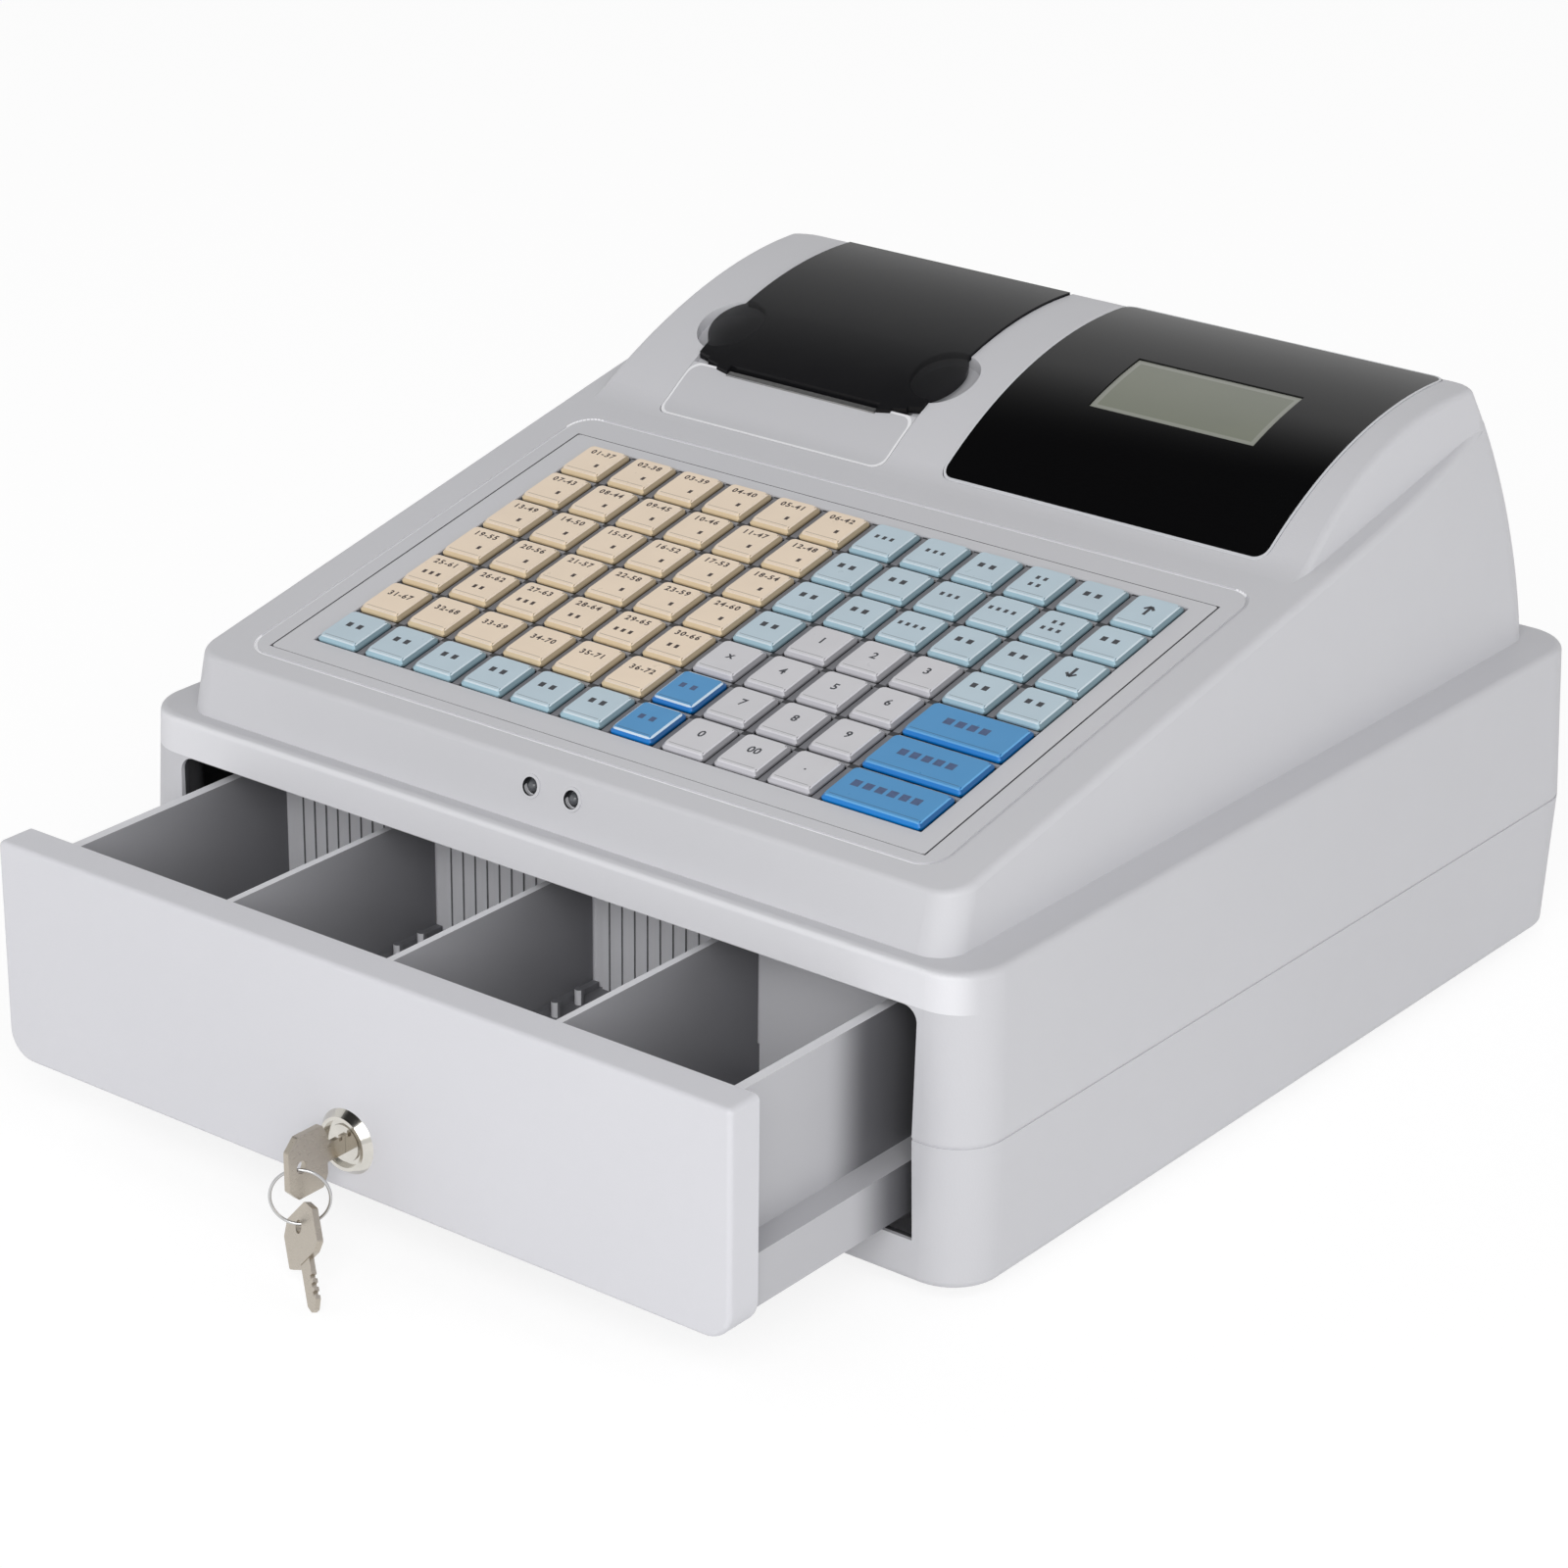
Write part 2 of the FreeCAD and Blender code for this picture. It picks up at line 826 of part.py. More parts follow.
def tall_box(x0, x1, y0, y1):
    return block(x0, x1, y0, y1, cabinet_top, hump_top + overrun)


def finger_cup(radius, inner_depth):
    """Round finger recess beside the cover, one on each side."""
    layer = hump_layer(-overrun / 2, inner_depth)
    cups = []
    for side in (-1, 1):
        x = printer_x + side * finger_offset
        cups.append(rod(radius, overrun + hump_rise, point(x, finger_y(), cabinet_top), up))
    return [cup.common(layer) for cup in cups]


def finger_y():
    return (cover_tab_front + cover_tab_back) / 2


def cover_outline(grow):
    """Plan of the cover: saw-toothed front corners and round finger tabs."""
    side = cover_half + grow
    points = [point(-cover_tooth_half, cover_front - grow, 0)]
    for tooth in range(cover_tooth_count):
        x = -cover_tooth_half - tooth * cover_tooth_step_x
        y = cover_front - cover_tooth_front + tooth * cover_tooth_step_y - grow
        points.append(point(x, y, 0))
        points.append(point(x - cover_tooth_step_x, y + cover_tooth_step_y / 2, 0))
    last = points[-1]
    points[-1] = point(-side, last.y, 0)
    points.append(point(-side, cover_tab_front, 0))
    tab = Part.Arc(points[-1], point(-side - cover_tab_bulge, finger_y(), 0),
                   point(-side, cover_tab_back, 0))
    back = hinge_y
    left = [Part.makeLine(a, b) for a, b in zip(points[:-1], points[1:])]
    left.append(tab.toShape())
    left.append(Part.makeLine(point(-side, cover_tab_back, 0), point(-side, back, 0)))
    right = [edge.mirror(point(0, 0, 0), across) for edge in left]
    front = Part.makeLine(points[0], point(-points[0].x, points[0].y, 0))
    rear = Part.makeLine(point(-side, back, 0), point(side, back, 0))
    wire = Part.Wire(Part.__sortEdges__(left + right + [front, rear]))
    face = Part.Face(wire)
    face.translate(point(printer_x, 0, cabinet_top))
    return face.extrude(up * (hump_rise + overrun))


def hinge_axis_z():
    return hump_height(hinge_y, hinge_depth)


def hinge_rod(radius, half):
    return rod(radius, 2 * half, point(printer_x - half, hinge_y, hinge_axis_z()), across)


def top_housing():
    """Sloped housing with all its openings and seats."""
    outside = housing_outside()
    shell = outside.cut(housing_hollow())
    cups = [cup.common(outside) for cup in
            finger_cup(finger_radius + finger_wall, finger_depth + finger_wall)]
    boss_radius = hinge_groove_radius + wall / 2
    boss_half = cover_half + hinge_pin_length + wall
    knuckle = hinge_rod(boss_radius, boss_half).common(outside)
    pieces = [shell, knuckle]
    for x, y in housing_screw_places():
        pieces.append(rod(column_radius, housing_boss_height, point(x, y, cabinet_top), up))
    shell = fused(pieces)
    opening = tall_box(printer_x - printer_opening_half, printer_x + printer_opening_half,
                       printer_opening_front, printer_opening_back)
    shell = fused([shell.cut(opening)] + cups)
    tools = finger_cup(finger_radius, finger_depth)
    tools.append(cover_outline(slide_gap).common(
        hump_layer(-overrun / 2, cover_thickness - cover_proud + slide_gap)))
    tools.append(hinge_rod(hinge_groove_radius, cover_half + slide_gap))
    tools.append(hinge_rod(hinge_pin_radius + pin_gap, cover_half + hinge_pin_length + slide_gap))
    tools.append(plan_box(printer_x - cover_half - part_gap, printer_x + cover_half + part_gap,
                          printer_front - part_gap, cover_tab_front,
                          printer_panel_round).common(
        hump_layer(-overrun / 2, printer_panel_thickness)))
    tools.append(plan_box(window_left - part_gap, window_right + part_gap,
                          window_front - part_gap, window_back + part_gap,
                          window_round).common(
        hump_layer(-overrun / 2, window_thickness - window_proud)))
    tools.append(tall_box(screen_left, screen_right, screen_front, screen_back))
    shell = shell.cut(tools)
    shell = shell.cut(keyboard_cutters() + lamp_holes() + [inlet_hole()])
    for x, y in housing_screw_places():
        shell = shell.cut(rod(screw_radius, screw_length - wall, point(x, y, cabinet_top), up))
    return shell


def keyboard_cutters():
    """Opening, seat and outer groove of the keyboard."""
    ledge = panel_ledge + part_gap
    opening = block(-panel_half + ledge, panel_half - ledge, -panel_front + ledge,
                    panel_back - ledge + well_side / 2, -overrun, overrun)
    seat = rounded_block(-panel_half - part_gap, panel_half + part_gap,
                         -panel_front - part_gap, panel_back + part_gap,
                         -panel_flange, overrun, panel_round)
    outer = rounded_block(-groove_half, groove_half, -groove_front, groove_back,
                          -groove_depth, overrun, groove_round)
    inner = rounded_block(-groove_half + groove_width, groove_half - groove_width,
                          -groove_front + groove_width, groove_back - groove_width,
                          -overrun, overrun + groove_width, groove_round - groove_width)
    return [on_deck(opening), on_deck(seat), on_deck(outer.cut(inner))]


def lamp_centres():
    z = cabinet_top + lamp_rise
    y = front_line(z)
    return [point(lamp_shift + side * lamp_spacing / 2, y, z) for side in (-1, 1)]


def lamp_direction():
    """Straight into the leaning front face."""
    lean = math.radians(housing_front_lean)
    return point(0, math.cos(lean), -math.sin(lean))


def lamp_holes():
    into = lamp_direction()
    return [rod(lamp_radius, lamp_length * 2, centre - into * lamp_length, into)
            for centre in lamp_centres()]


def indicator_lamps():
    """Two small lamps, each a domed lens inside a thin ring."""
    into = lamp_direction()
    lamps = []
    for centre in lamp_centres():
        front = centre - into * lamp_ring_proud
        bulb = rod(lamp_radius, lamp_length, centre, into)
        ring = rod(lamp_ring_radius, lamp_ring_proud, front, into)
        bore = rod(lamp_bore_radius, lamp_bore_depth, front, into)
        dome = Part.makeSphere(lamp_dome_radius, front + into * lamp_bore_depth)
        lamps.append(fused([fused([bulb, ring]).cut(bore), dome]))
    return Part.makeCompound(lamps)


# Display

def display_window():
    """Curved window plate with an opening for the screen."""
    plate = plan_box(window_left, window_right, window_front, window_back, window_round)
    plate = plate.common(hump_layer(-window_proud, window_thickness - window_proud))
    return plate.cut(tall_box(screen_left, screen_right, screen_front, screen_back))


def screen_module():
    """Screen glass in the opening and the module body behind the wall."""
    glass = tall_box(screen_left + part_gap, screen_right - part_gap,
                     screen_front + part_gap, screen_back - part_gap)
    glass = glass.common(hump_layer(screen_depth, wall))
    body = tall_box(screen_left - screen_body_margin, screen_right + screen_body_margin,
                    screen_front - screen_body_margin, screen_back + screen_body_margin)
    body = body.common(hump_layer(wall, wall + screen_body_depth))
    return fused([glass, body])


# Printer

def printer_cover():
    """Smoked cover with its hinge barrel and pins."""
    plate = cover_outline(0).common(
        hump_layer(-cover_proud, cover_thickness - cover_proud))
    barrel = hinge_rod(hinge_radius, cover_half)
    pins = hinge_rod(hinge_pin_radius, cover_half + hinge_pin_length)
    return fused([plate, barrel, pins])


def printer_front_panel():
    """Clip-in panel between the keyboard and the cover, with a seat for the tear bar."""
    plate = plan_box(printer_x - cover_half, printer_x + cover_half,
                     printer_front, printer_panel_back, printer_panel_round)
    plate = fused([plate, tall_box(printer_x - cover_half, printer_x + cover_half,
                                   printer_panel_back - printer_panel_round,
                                   printer_panel_back)])
    plate = plate.common(hump_layer(0, printer_panel_thickness))
    plate = plate.cut(cover_outline(slide_gap).common(
        hump_layer(-overrun / 2, cover_thickness - cover_proud + slide_gap)))
    seat = tall_box(printer_x - cover_tooth_half, printer_x + cover_tooth_half,
                    tear_front - part_gap, printer_panel_back + overrun)
    slot = tall_box(printer_x - tear_half, printer_x + tear_half,
                    tear_front + tear_width, printer_panel_back + overrun)
    return plate.cut([seat.common(hump_layer(-overrun / 2, tear_seat)), slot])


def tear_bar():
    """Steel strip that the receipt is torn against."""
    strip = tall_box(printer_x - tear_half, printer_x + tear_half,
                     tear_front, tear_front + tear_width)
    return strip.common(hump_layer(-tear_proud, tear_seat))


def paper_axis():
    return point(printer_x, paper_y, hump_height(paper_y, 0) - paper_drop)


def platen_axis():
    return point(printer_x, platen_y, hump_height(platen_y, 0) - platen_drop)


def printer_frame():
    """Sheet frame with two cheeks, a base and a round cradle for the roll."""
    cheek = block(printer_x + frame_half - frame_plate, printer_x + frame_half,
                  frame_front, frame_back, cabinet_top, hump_top)
    other = block(printer_x - frame_half, printer_x - frame_half + frame_plate,
                  frame_front, frame_back, cabinet_top, hump_top)
    base = block(printer_x - frame_half, printer_x + frame_half, frame_front, frame_back,
                 cabinet_top, cabinet_top + frame_plate)
    axis = paper_axis()
    start = point(printer_x - frame_half, axis.y, axis.z)
    cradle = rod(cradle_radius + cradle_wall, 2 * frame_half, start, across)
    cradle = cradle.cut(rod(cradle_radius, 2 * frame_half, start, across))
    cradle = cradle.cut(block(printer_x - frame_half, printer_x + frame_half,
                              axis.y - 2 * cradle_radius, axis.y + 2 * cradle_radius,
                              axis.z, axis.z + 2 * cradle_radius))
    frame = fused([cheek, other, base, cradle]).common(hump_prism(frame_depth))
    pivot = platen_axis()
    axle = rod(platen_axle_radius + pin_gap, 2 * frame_half,
               point(printer_x - frame_half, pivot.y, pivot.z), across)
    return frame.cut(axle)


def platen_roller():
    """Rubber roller on a steel axle."""
    axis = platen_axis()
    roller = rod(platen_radius, 2 * platen_half,
                 point(printer_x - platen_half, axis.y, axis.z), across)
    axle = rod(platen_axle_radius, 2 * frame_half,
               point(printer_x - frame_half, axis.y, axis.z), across)
    return fused([roller, axle])


def paper_roll():
    """Roll of receipt paper on its hollow core."""
    axis = paper_axis()
    start = point(printer_x - paper_half, axis.y, axis.z)
    roll = rod(paper_radius, 2 * paper_half, start, across)
    return roll.cut(rod(paper_core_radius, 2 * paper_half, start, across))


# Electronics

def main_board():
    """Circuit board on four posts, with its larger chips."""
    low = cabinet_top + main_board_lift
    top = low + board_thickness
    board = block(main_board_left, main_board_right, main_board_front, main_board_back, low, top)
    pieces = [board]
    span = main_board_back - main_board_front
    middle = (main_board_left + main_board_right) / 2
    for share in chip_shares:
        y = main_board_front + span * share
        pieces.append(block(middle - chip_side, middle + chip_side,
                            y - chip_side / 2, y + chip_side / 2, top, top + chip_height))
    return fused(pieces)


def power_supply():
    """Mains transformer: laminated core around a winding."""
    y0 = supply_front
    y1 = supply_back
    foot = block(supply_left, supply_right, y0, y1, cabinet_top, cabinet_top + supply_foot)
    core = block(supply_left + supply_core, supply_right - supply_core, y0 + supply_core,
                 y1 - supply_core, cabinet_top + supply_foot, cabinet_top + supply_height)
    winding = block(supply_left + supply_foot, supply_right - supply_foot,
                    y0 + 2 * supply_core, y1 - 2 * supply_core,
                    cabinet_top + supply_core, cabinet_top + supply_height - supply_core)
    return fused([foot, core, winding])


def inlet_hole():
    z = cabinet_top + inlet_rise
    y = rear_curve(z)
    return block(inlet_x - inlet_half, inlet_x + inlet_half, y - overrun, y + overrun,
                 z - inlet_half_height, z + inlet_half_height)


def power_inlet():
    """Socket for the mains lead in the back of the housing."""
    z = cabinet_top + inlet_rise
    low = z - inlet_half_height - inlet_flange
    high = z + inlet_half_height + inlet_flange
    face = rear_curve(low) + inlet_flange_proud
    seat = rear_curve(high) - wall
    flange = block(inlet_x - inlet_half - inlet_flange, inlet_x + inlet_half + inlet_flange,
                   seat, face, low, high)
    flange = flange.cut(housing_core(0))
    body = block(inlet_x - inlet_half, inlet_x + inlet_half, face - inlet_depth, face,
                 z - inlet_half_height, z + inlet_half_height)
    socket = fused([flange, body])
    socket = socket.cut(block(inlet_x - inlet_half + inlet_wall, inlet_x + inlet_half - inlet_wall,
                              face - inlet_recess, face,
                              z - inlet_half_height + inlet_wall,
                              z + inlet_half_height - inlet_wall))
    pins = [rod(inlet_pin_radius, inlet_pin_length,
                point(inlet_x + side * inlet_pin_spacing / 2, face - inlet_recess, z), backward)
            for side in (-1, 1)]
    return fused([socket] + pins)


# Keyboard

def key_place(column, row):
    """Middle of a key on the deck, columns from the left and rows from the back."""
    x = (column - (key_columns + 1) / 2) * key_pitch + key_field_right
    y = (row_above_middle + 0.5 - row) * row_pitch - key_field_ahead
    return x, y


def key_field():
    """Left, right, front and back of the well round all the keys."""
    left, back = key_place(1, 1)
    right, front = key_place(key_columns, key_rows)
    reach_x = (key_pitch - key_gap) / 2 + well_margin
    reach_y = (row_pitch - key_row_gap) / 2 + well_margin
    return left - reach_x, right + reach_x, front - reach_y, back + reach_y


def key_slots():
    """Column, row and width in columns of every key."""
    slots = []
    for row in range(1, key_rows + 1):
        for column in range(1, key_columns + 1):
            wide = row > row_above_middle and column > key_columns - 2
            if not wide:
                slots.append((column, row, 1))
        if row > row_above_middle:
            slots.append((key_columns - 1, row, 2))
    return slots


def key_centre(column, row, columns_wide):
    x, y = key_place(column, row)
    return x + (columns_wide - 1) * key_pitch / 2, y


def keyboard_panel():
    """Flange flush with the deck, sunk well and a plate with one hole per key."""
    left, right, front, back = key_field()
    flange = rounded_block(-panel_half, panel_half, -panel_front, panel_back,
                           -panel_flange, 0, panel_round)
    floor = -well_floor - well_plate
    tub = block(left - well_side, right + well_side, front - well_side, back + well_side,
                floor, 0)
    posts = []
    for column in (1, key_columns / 2, key_columns - 1):
        for row in (2, key_rows - 1):
            x, y = key_place(column, row)
            if row > row_above_middle:
                y += row_pitch
            posts.append(rod(panel_post_radius, board_drop - well_floor - well_plate,
                             point(x + key_pitch / 2, y - row_pitch / 2, -board_drop), up))
    panel = fused([flange, tub] + posts)
    panel = panel.cut(block(left, right, front, back, -well_floor, overrun))
    hole = stem_side / 2 + stem_gap
    holes = []
    for column, row, columns_wide in key_slots():
        x, y = key_centre(column, row, columns_wide)
        holes.append(block(x - hole, x + hole, y - hole, y + hole, floor, -well_floor))
    return on_deck(panel.cut(Part.makeCompound(holes)))


def keyboard_board():
    """Circuit board under the keys with a dome under every stem."""
    left, right, front, back = key_field()
    board = block(left + board_margin, right - board_margin, front + board_margin,
                  back - board_margin, -board_drop - board_thickness, -board_drop)
    domes = []
    for column, row, columns_wide in key_slots():
        x, y = key_centre(column, row, columns_wide)
        domes.append(rod(dome_radius, dome_height, point(x, y, -board_drop), up))
    return on_deck(board.fuse(domes))


def key_cap(columns_wide):
    """One key at the origin: skirt, leaning sides, crowned top and square stem."""
    half_x = (columns_wide * key_pitch - key_gap) / 2
    half_y = (row_pitch - key_row_gap) / 2
    side = stem_side / 2

    def outline(inset, z):
        return rounded_outline(-half_x + inset, half_x - inset,
                               -half_y + inset, half_y - inset, key_round, z)

    cap = Part.makeLoft([outline(0, -key_skirt),
                         outline(0, key_shoulder),
                         outline(key_top_inset, key_height - key_crown),
                         outline(key_top_inset + key_crown_inset, key_height)], True, True)
    stem = block(-side, side, -side, side, -stem_reach, -key_skirt)
    return fused([cap, stem])


single_key = key_cap(1)
double_key = key_cap(2)


def key_group(places):
    """Several keys kept together as one piece of the set."""
    caps = []
    for column, row, columns_wide in places:
        x, y = key_centre(column, row, columns_wide)
        cap = (double_key if columns_wide > 1 else single_key).copy()
        cap.translate(point(x, y, 0))
        caps.append(on_deck(cap))
    return caps[0] if len(caps) == 1 else Part.makeCompound(caps)


def key_nodes():
    """Every key or row of keys by name."""
    half = key_columns // 2
    nodes = {}
    for row in range(1, key_rows):
        name = "cream_keys_row_" + str(row)
        nodes[name] = key_group([(column, row, 1) for column in range(1, half + 1)])
    for row in range(1, row_above_middle):
        name = "pale_keys_row_" + str(row)
        nodes[name] = key_group([(column, row, 1) for column in range(half + 1, key_columns + 1)])
    fourth = [(half + 1, row_above_middle, 1), (key_columns - 1, row_above_middle, 1),
              (key_columns, row_above_middle, 1)]
    nodes["pale_keys_row_4"] = key_group(fourth)
    nodes["pale_keys_row_7"] = key_group([(column, key_rows, 1) for column in range(1, half + 1)])
    for index in range(digit_columns ** 2):
        place = (half + 2 + index % digit_columns, row_above_middle + index // digit_columns, 1)
        nodes["digit_key_" + str(index + 1)] = key_group([place])
    nodes["digit_key_0"] = key_group([(half + 2, key_rows, 1)])
    nodes["double_zero_key"] = key_group([(half + digit_columns, key_rows, 1)])
    nodes["point_key"] = key_group([(half + digit_columns + 1, key_rows, 1)])
    nodes["multiply_key"] = key_group([(half + 1, row_above_middle + 1, 1)])
    nodes["blue_key_back"] = key_group([(half + 1, key_rows - 1, 1)])
    nodes["blue_key_front"] = key_group([(half + 1, key_rows, 1)])
    wide_names = ["wide_key_back", "wide_key_middle", "wide_key_front"]
    for index, name in enumerate(wide_names):
        row = row_above_middle + 1 + index
        nodes[name] = key_group([(key_columns - 1, row, 2)])
    return nodes


# Drawer

def drawer_front():
    """Front panel of the drawer with the bore of the lock."""
    back = drawer_face + drawer_front_thickness
    panel = front_prism(-drawer_half, drawer_half, drawer_front_low, drawer_front_high,
                        drawer_face, back, drawer_front_round)
    top = front_prism(-drawer_half, drawer_half,
                      (drawer_front_low + drawer_front_high) / 2, drawer_front_high,
                      drawer_face, back, drawer_front_top_round)
    panel = fused([panel, top])
    face_edges = edges_where(panel, lambda p: abs(p.y - drawer_face) < tolerance)
    panel = panel.makeFillet(drawer_front_edge, face_edges)
    return panel.cut(rod(lock_radius, drawer_front_thickness,
                         point(0, drawer_face, lock_z), backward))


def divider_centres():
    pitch = (2 * inside_half + divider_thickness) / bay_count
    return [-inside_half - divider_thickness / 2 + pitch * (index + 1)
            for index in range(bay_count - 1)]


def pocket_edge():
    """Inner side of the right deep bay, flush with the outer face of its divider."""
    return divider_centres()[-1] + divider_thickness / 2


def deep_bays():
    """Outsides and hollows of the two outer bays, which reach below the floor."""
    low = tray_top - pocket_depth
    outside = block(pocket_edge() - pocket_wall, tray_half, tray_start, cup_start,
                    low - tray_floor, tray_top)
    hollow = block(pocket_edge(), inside_half, bay_start, cross_y, low, tray_rim)
    return both_sides(outside), both_sides(hollow)


def tray_ribs():
    """Upright ribs on the cross wall, in all bays but the right one."""
    ribs = []
    centres = divider_centres()
    edges = [-inside_half] + centres
    for left, right in zip(edges[:-1], edges[1:]):
        start = left + rib_pitch
        count = int((right - left - 2 * rib_pitch) / rib_pitch) + 1
        for index in range(count):
            x = start + index * rib_pitch
            ribs.append(block(x, x + rib_width, cross_y - rib_proud, cross_y,
                              tray_top, tray_rim))
    return ribs


def clip_pins():
    """Small pins on the floor of the two middle bays."""
    pins = []
    for centre in divider_centres()[:2]:
        x = centre + divider_thickness / 2 + divider_foot + clip_from_wall
        for index in range(2):
            y = cross_y - clip_from_cross - index * clip_spacing
            pins.append(rod(clip_radius, clip_height, point(x, y, tray_top), up))
    return pins


def drawer_tray():
    """Tray of the drawer: bays for notes, cups for coins, rails and striker."""
    box = block(-tray_half, tray_half, tray_start, tray_end, tray_floor_low, tray_rim)
    box = box.cut(block(-inside_half, inside_half, bay_start, tray_end - tray_end_wall,
                        tray_top, tray_rim + overrun))
    pieces = [box]
    pieces.append(block(-inside_half, inside_half, cross_y, cup_start, tray_top, tray_rim))
    pieces.append(block(-inside_half, inside_half, second_cross_y, second_cross_y + cross_wall,
                        tray_top, tray_rim))
    cup_pitch = (2 * inside_half + divider_thickness) / cup_count
    for index in range(1, cup_count):
        x = -inside_half - divider_thickness + cup_pitch * index
        pieces.append(block(x, x + divider_thickness, cup_start, second_cross_y,
                            tray_top, tray_rim))
    ledge = block(inside_half, rail_half, tray_start, tray_end,
                  rail_high - rail_wall, rail_high)
    web = block(inside_half, tray_half, tray_start, tray_end, rail_high - rail_wall, tray_top)
    skirt = block(rail_half - rail_wall, rail_half, tray_start, tray_end, rail_low, rail_high)
    for piece in (ledge, web, skirt):
        pieces += both_sides(piece)
    striker_end = tray_end - striker_back
    pieces.append(block(-striker_half, striker_half, striker_end - striker_thickness,
                        striker_end, tray_floor_low - striker_depth, tray_floor_low))
    outsides, hollows = deep_bays()
    tray = fused(pieces + outsides).cut(hollows)
    return fused([tray] + tray_ribs() + clip_pins())


def divider(centre):
    """Loose divider of the note bays with a foot wherever the high floor lies beside it."""
    half = divider_thickness / 2
    y0 = bay_start + divider_gap
    y1 = cross_y - divider_gap - rib_proud
    plate = block(centre - half, centre + half, y0, y1, tray_top, tray_rim)
    left = max(centre - half - divider_foot, -pocket_edge())
    right = min(centre + half + divider_foot, pocket_edge())
    foot = block(left, right, y0, y1, tray_top, tray_top + divider_foot_height)
    return fused([plate, foot])


# Lock

def lock_body():
    """Barrel of the lock with its bright conical bezel, sunk around the plug."""
    barrel_end = drawer_face + drawer_front_thickness + lock_behind
    start = drawer_face - bezel_thickness
    front = point(0, start, lock_z)
    barrel = rod(lock_radius, barrel_end - start, front, backward)
    bezel = Part.makeCone(bezel_crest_radius, bezel_radius, bezel_thickness, front, backward)
    body = fused([barrel, bezel])
    return body.cut([rod(bezel_recess_radius, bezel_recess_depth, front, backward),
                     rod(plug_radius + pin_gap, barrel_end - start, front, backward)])


def plug_face_y():
    return drawer_face - bezel_thickness + plug_recess


def plug_end_y():
    return drawer_face + drawer_front_thickness + lock_behind + plug_reach


def lock_plug():
    """Turning plug with the slot for the key."""
    start = plug_face_y()
    plug = rod(plug_radius, plug_end_y() - start, point(0, start, lock_z), backward)
    half = key_blade_thickness / 2 + pin_gap
    tall = key_blade_half + pin_gap
    slot = block(-half, half, start, start + keyway_depth, lock_z - tall, lock_z + tall)
    return plug.cut(slot)


def lock_cam():
    """Flat cam on the back of the plug, with the round nut that holds it."""
    y0 = plug_end_y()
    plate = block(-cam_length, 0, y0, y0 + cam_thickness, lock_z - cam_half, lock_z + cam_half)
    eye = rod(cam_half, cam_thickness, point(0, y0, lock_z), backward)
    nut = rod(cam_nut_radius, cam_nut_height, point(0, y0 + cam_thickness, lock_z), backward)
    return fused([plate, eye, nut])


def flat_key():
    """Key lying flat: tip towards +y, width along z, hole middle at the origin."""
    thick = key_bow_thickness / 2
    y0 = -key_hole_from_end
    y1 = y0 + key_bow_length
    cut = key_bow_corner
    nose = key_bow_front_corner
    bow_points = [point(-thick, y0 + nose, -key_bow_half),
                  point(-thick, y1 - cut / 2, -key_bow_half),
                  point(-thick, y1, -key_bow_half + cut),
                  point(-thick, y1, key_bow_half - cut),
                  point(-thick, y1 - cut / 2, key_bow_half),
                  point(-thick, y0 + nose, key_bow_half),
                  point(-thick, y0, key_bow_half - nose),
                  point(-thick, y0, -key_bow_half + nose)]
    bow = polygon_prism(bow_points, across * key_bow_thickness)
    corners = [edge for edge in bow.Edges if abs(edge.Length - key_bow_thickness) < tolerance
               and edge.tangentAt(edge.FirstParameter).cross(across).Length < tolerance]
    bow = bow.makeFillet(key_bow_round, corners)
    hole = rod(key_hole_radius, 2 * key_bow_thickness, point(-key_bow_thickness, 0, 0), across)
    tip = y1 + key_blade_length
    slim = key_blade_thickness / 2
    wide = key_blade_half
    blade_points = [point(-slim, y1 - cut, -wide), point(-slim, tip - key_tip, -wide),
                    point(-slim, tip, -key_tip_half), point(-slim, tip, key_tip_half),
                    point(-slim, tip - key_tip, wide), point(-slim, y1 - cut, wide)]
    blade = polygon_prism(blade_points, across * key_blade_thickness)
    key = fused([bow, blade]).cut(hole)
    spacing = (key_blade_length - 2 * key_tip) / (key_cut_count + 1)
    for index in range(key_cut_count):
        y = y1 + 2 * key_tip + index * spacing
        notch = block(-thick, thick, y, y + key_cut_width, wide - key_cut_depth, wide)
        key = key.cut(notch)
    return key


def key_hole_y():
    """Where the hole of the lock's key stands in front of the drawer."""
    bow_front = key_bow_length - key_hole_from_end
    return plug_face_y() - key_bow_offset - bow_front


def drawer_key():
    """Key standing upright in the lock."""
    key = flat_key()
    key.translate(point(0, key_hole_y(), lock_z))
    return key


def ring_centre():
    return point(0, key_hole_y(), lock_z - ring_sag - ring_radius)


def key_ring():
    """Wire ring hanging from the key."""
    turn = math.radians(ring_turn)
    facing = point(math.sin(turn), -math.cos(turn), 0)
    return Part.makeTorus(ring_radius, ring_wire, ring_centre(), facing)


def spare_key():
    """Second key, leaning out from the bottom of the ring."""
    down = point(*spare_down).normalize()
    side = point(*spare_side)
    side = (side - down * side.dot(down)).normalize()
    flat = down.cross(side)
    bottom = ring_centre() - up * ring_radius + down * spare_sag
    frame = FreeCAD.Matrix(flat.x, down.x, side.x, bottom.x,
                           flat.y, down.y, side.y, bottom.y,
                           flat.z, down.z, side.z, bottom.z,
                           0, 0, 0, 1)
    key = flat_key()
    key.Placement = FreeCAD.Placement(frame)
    return key


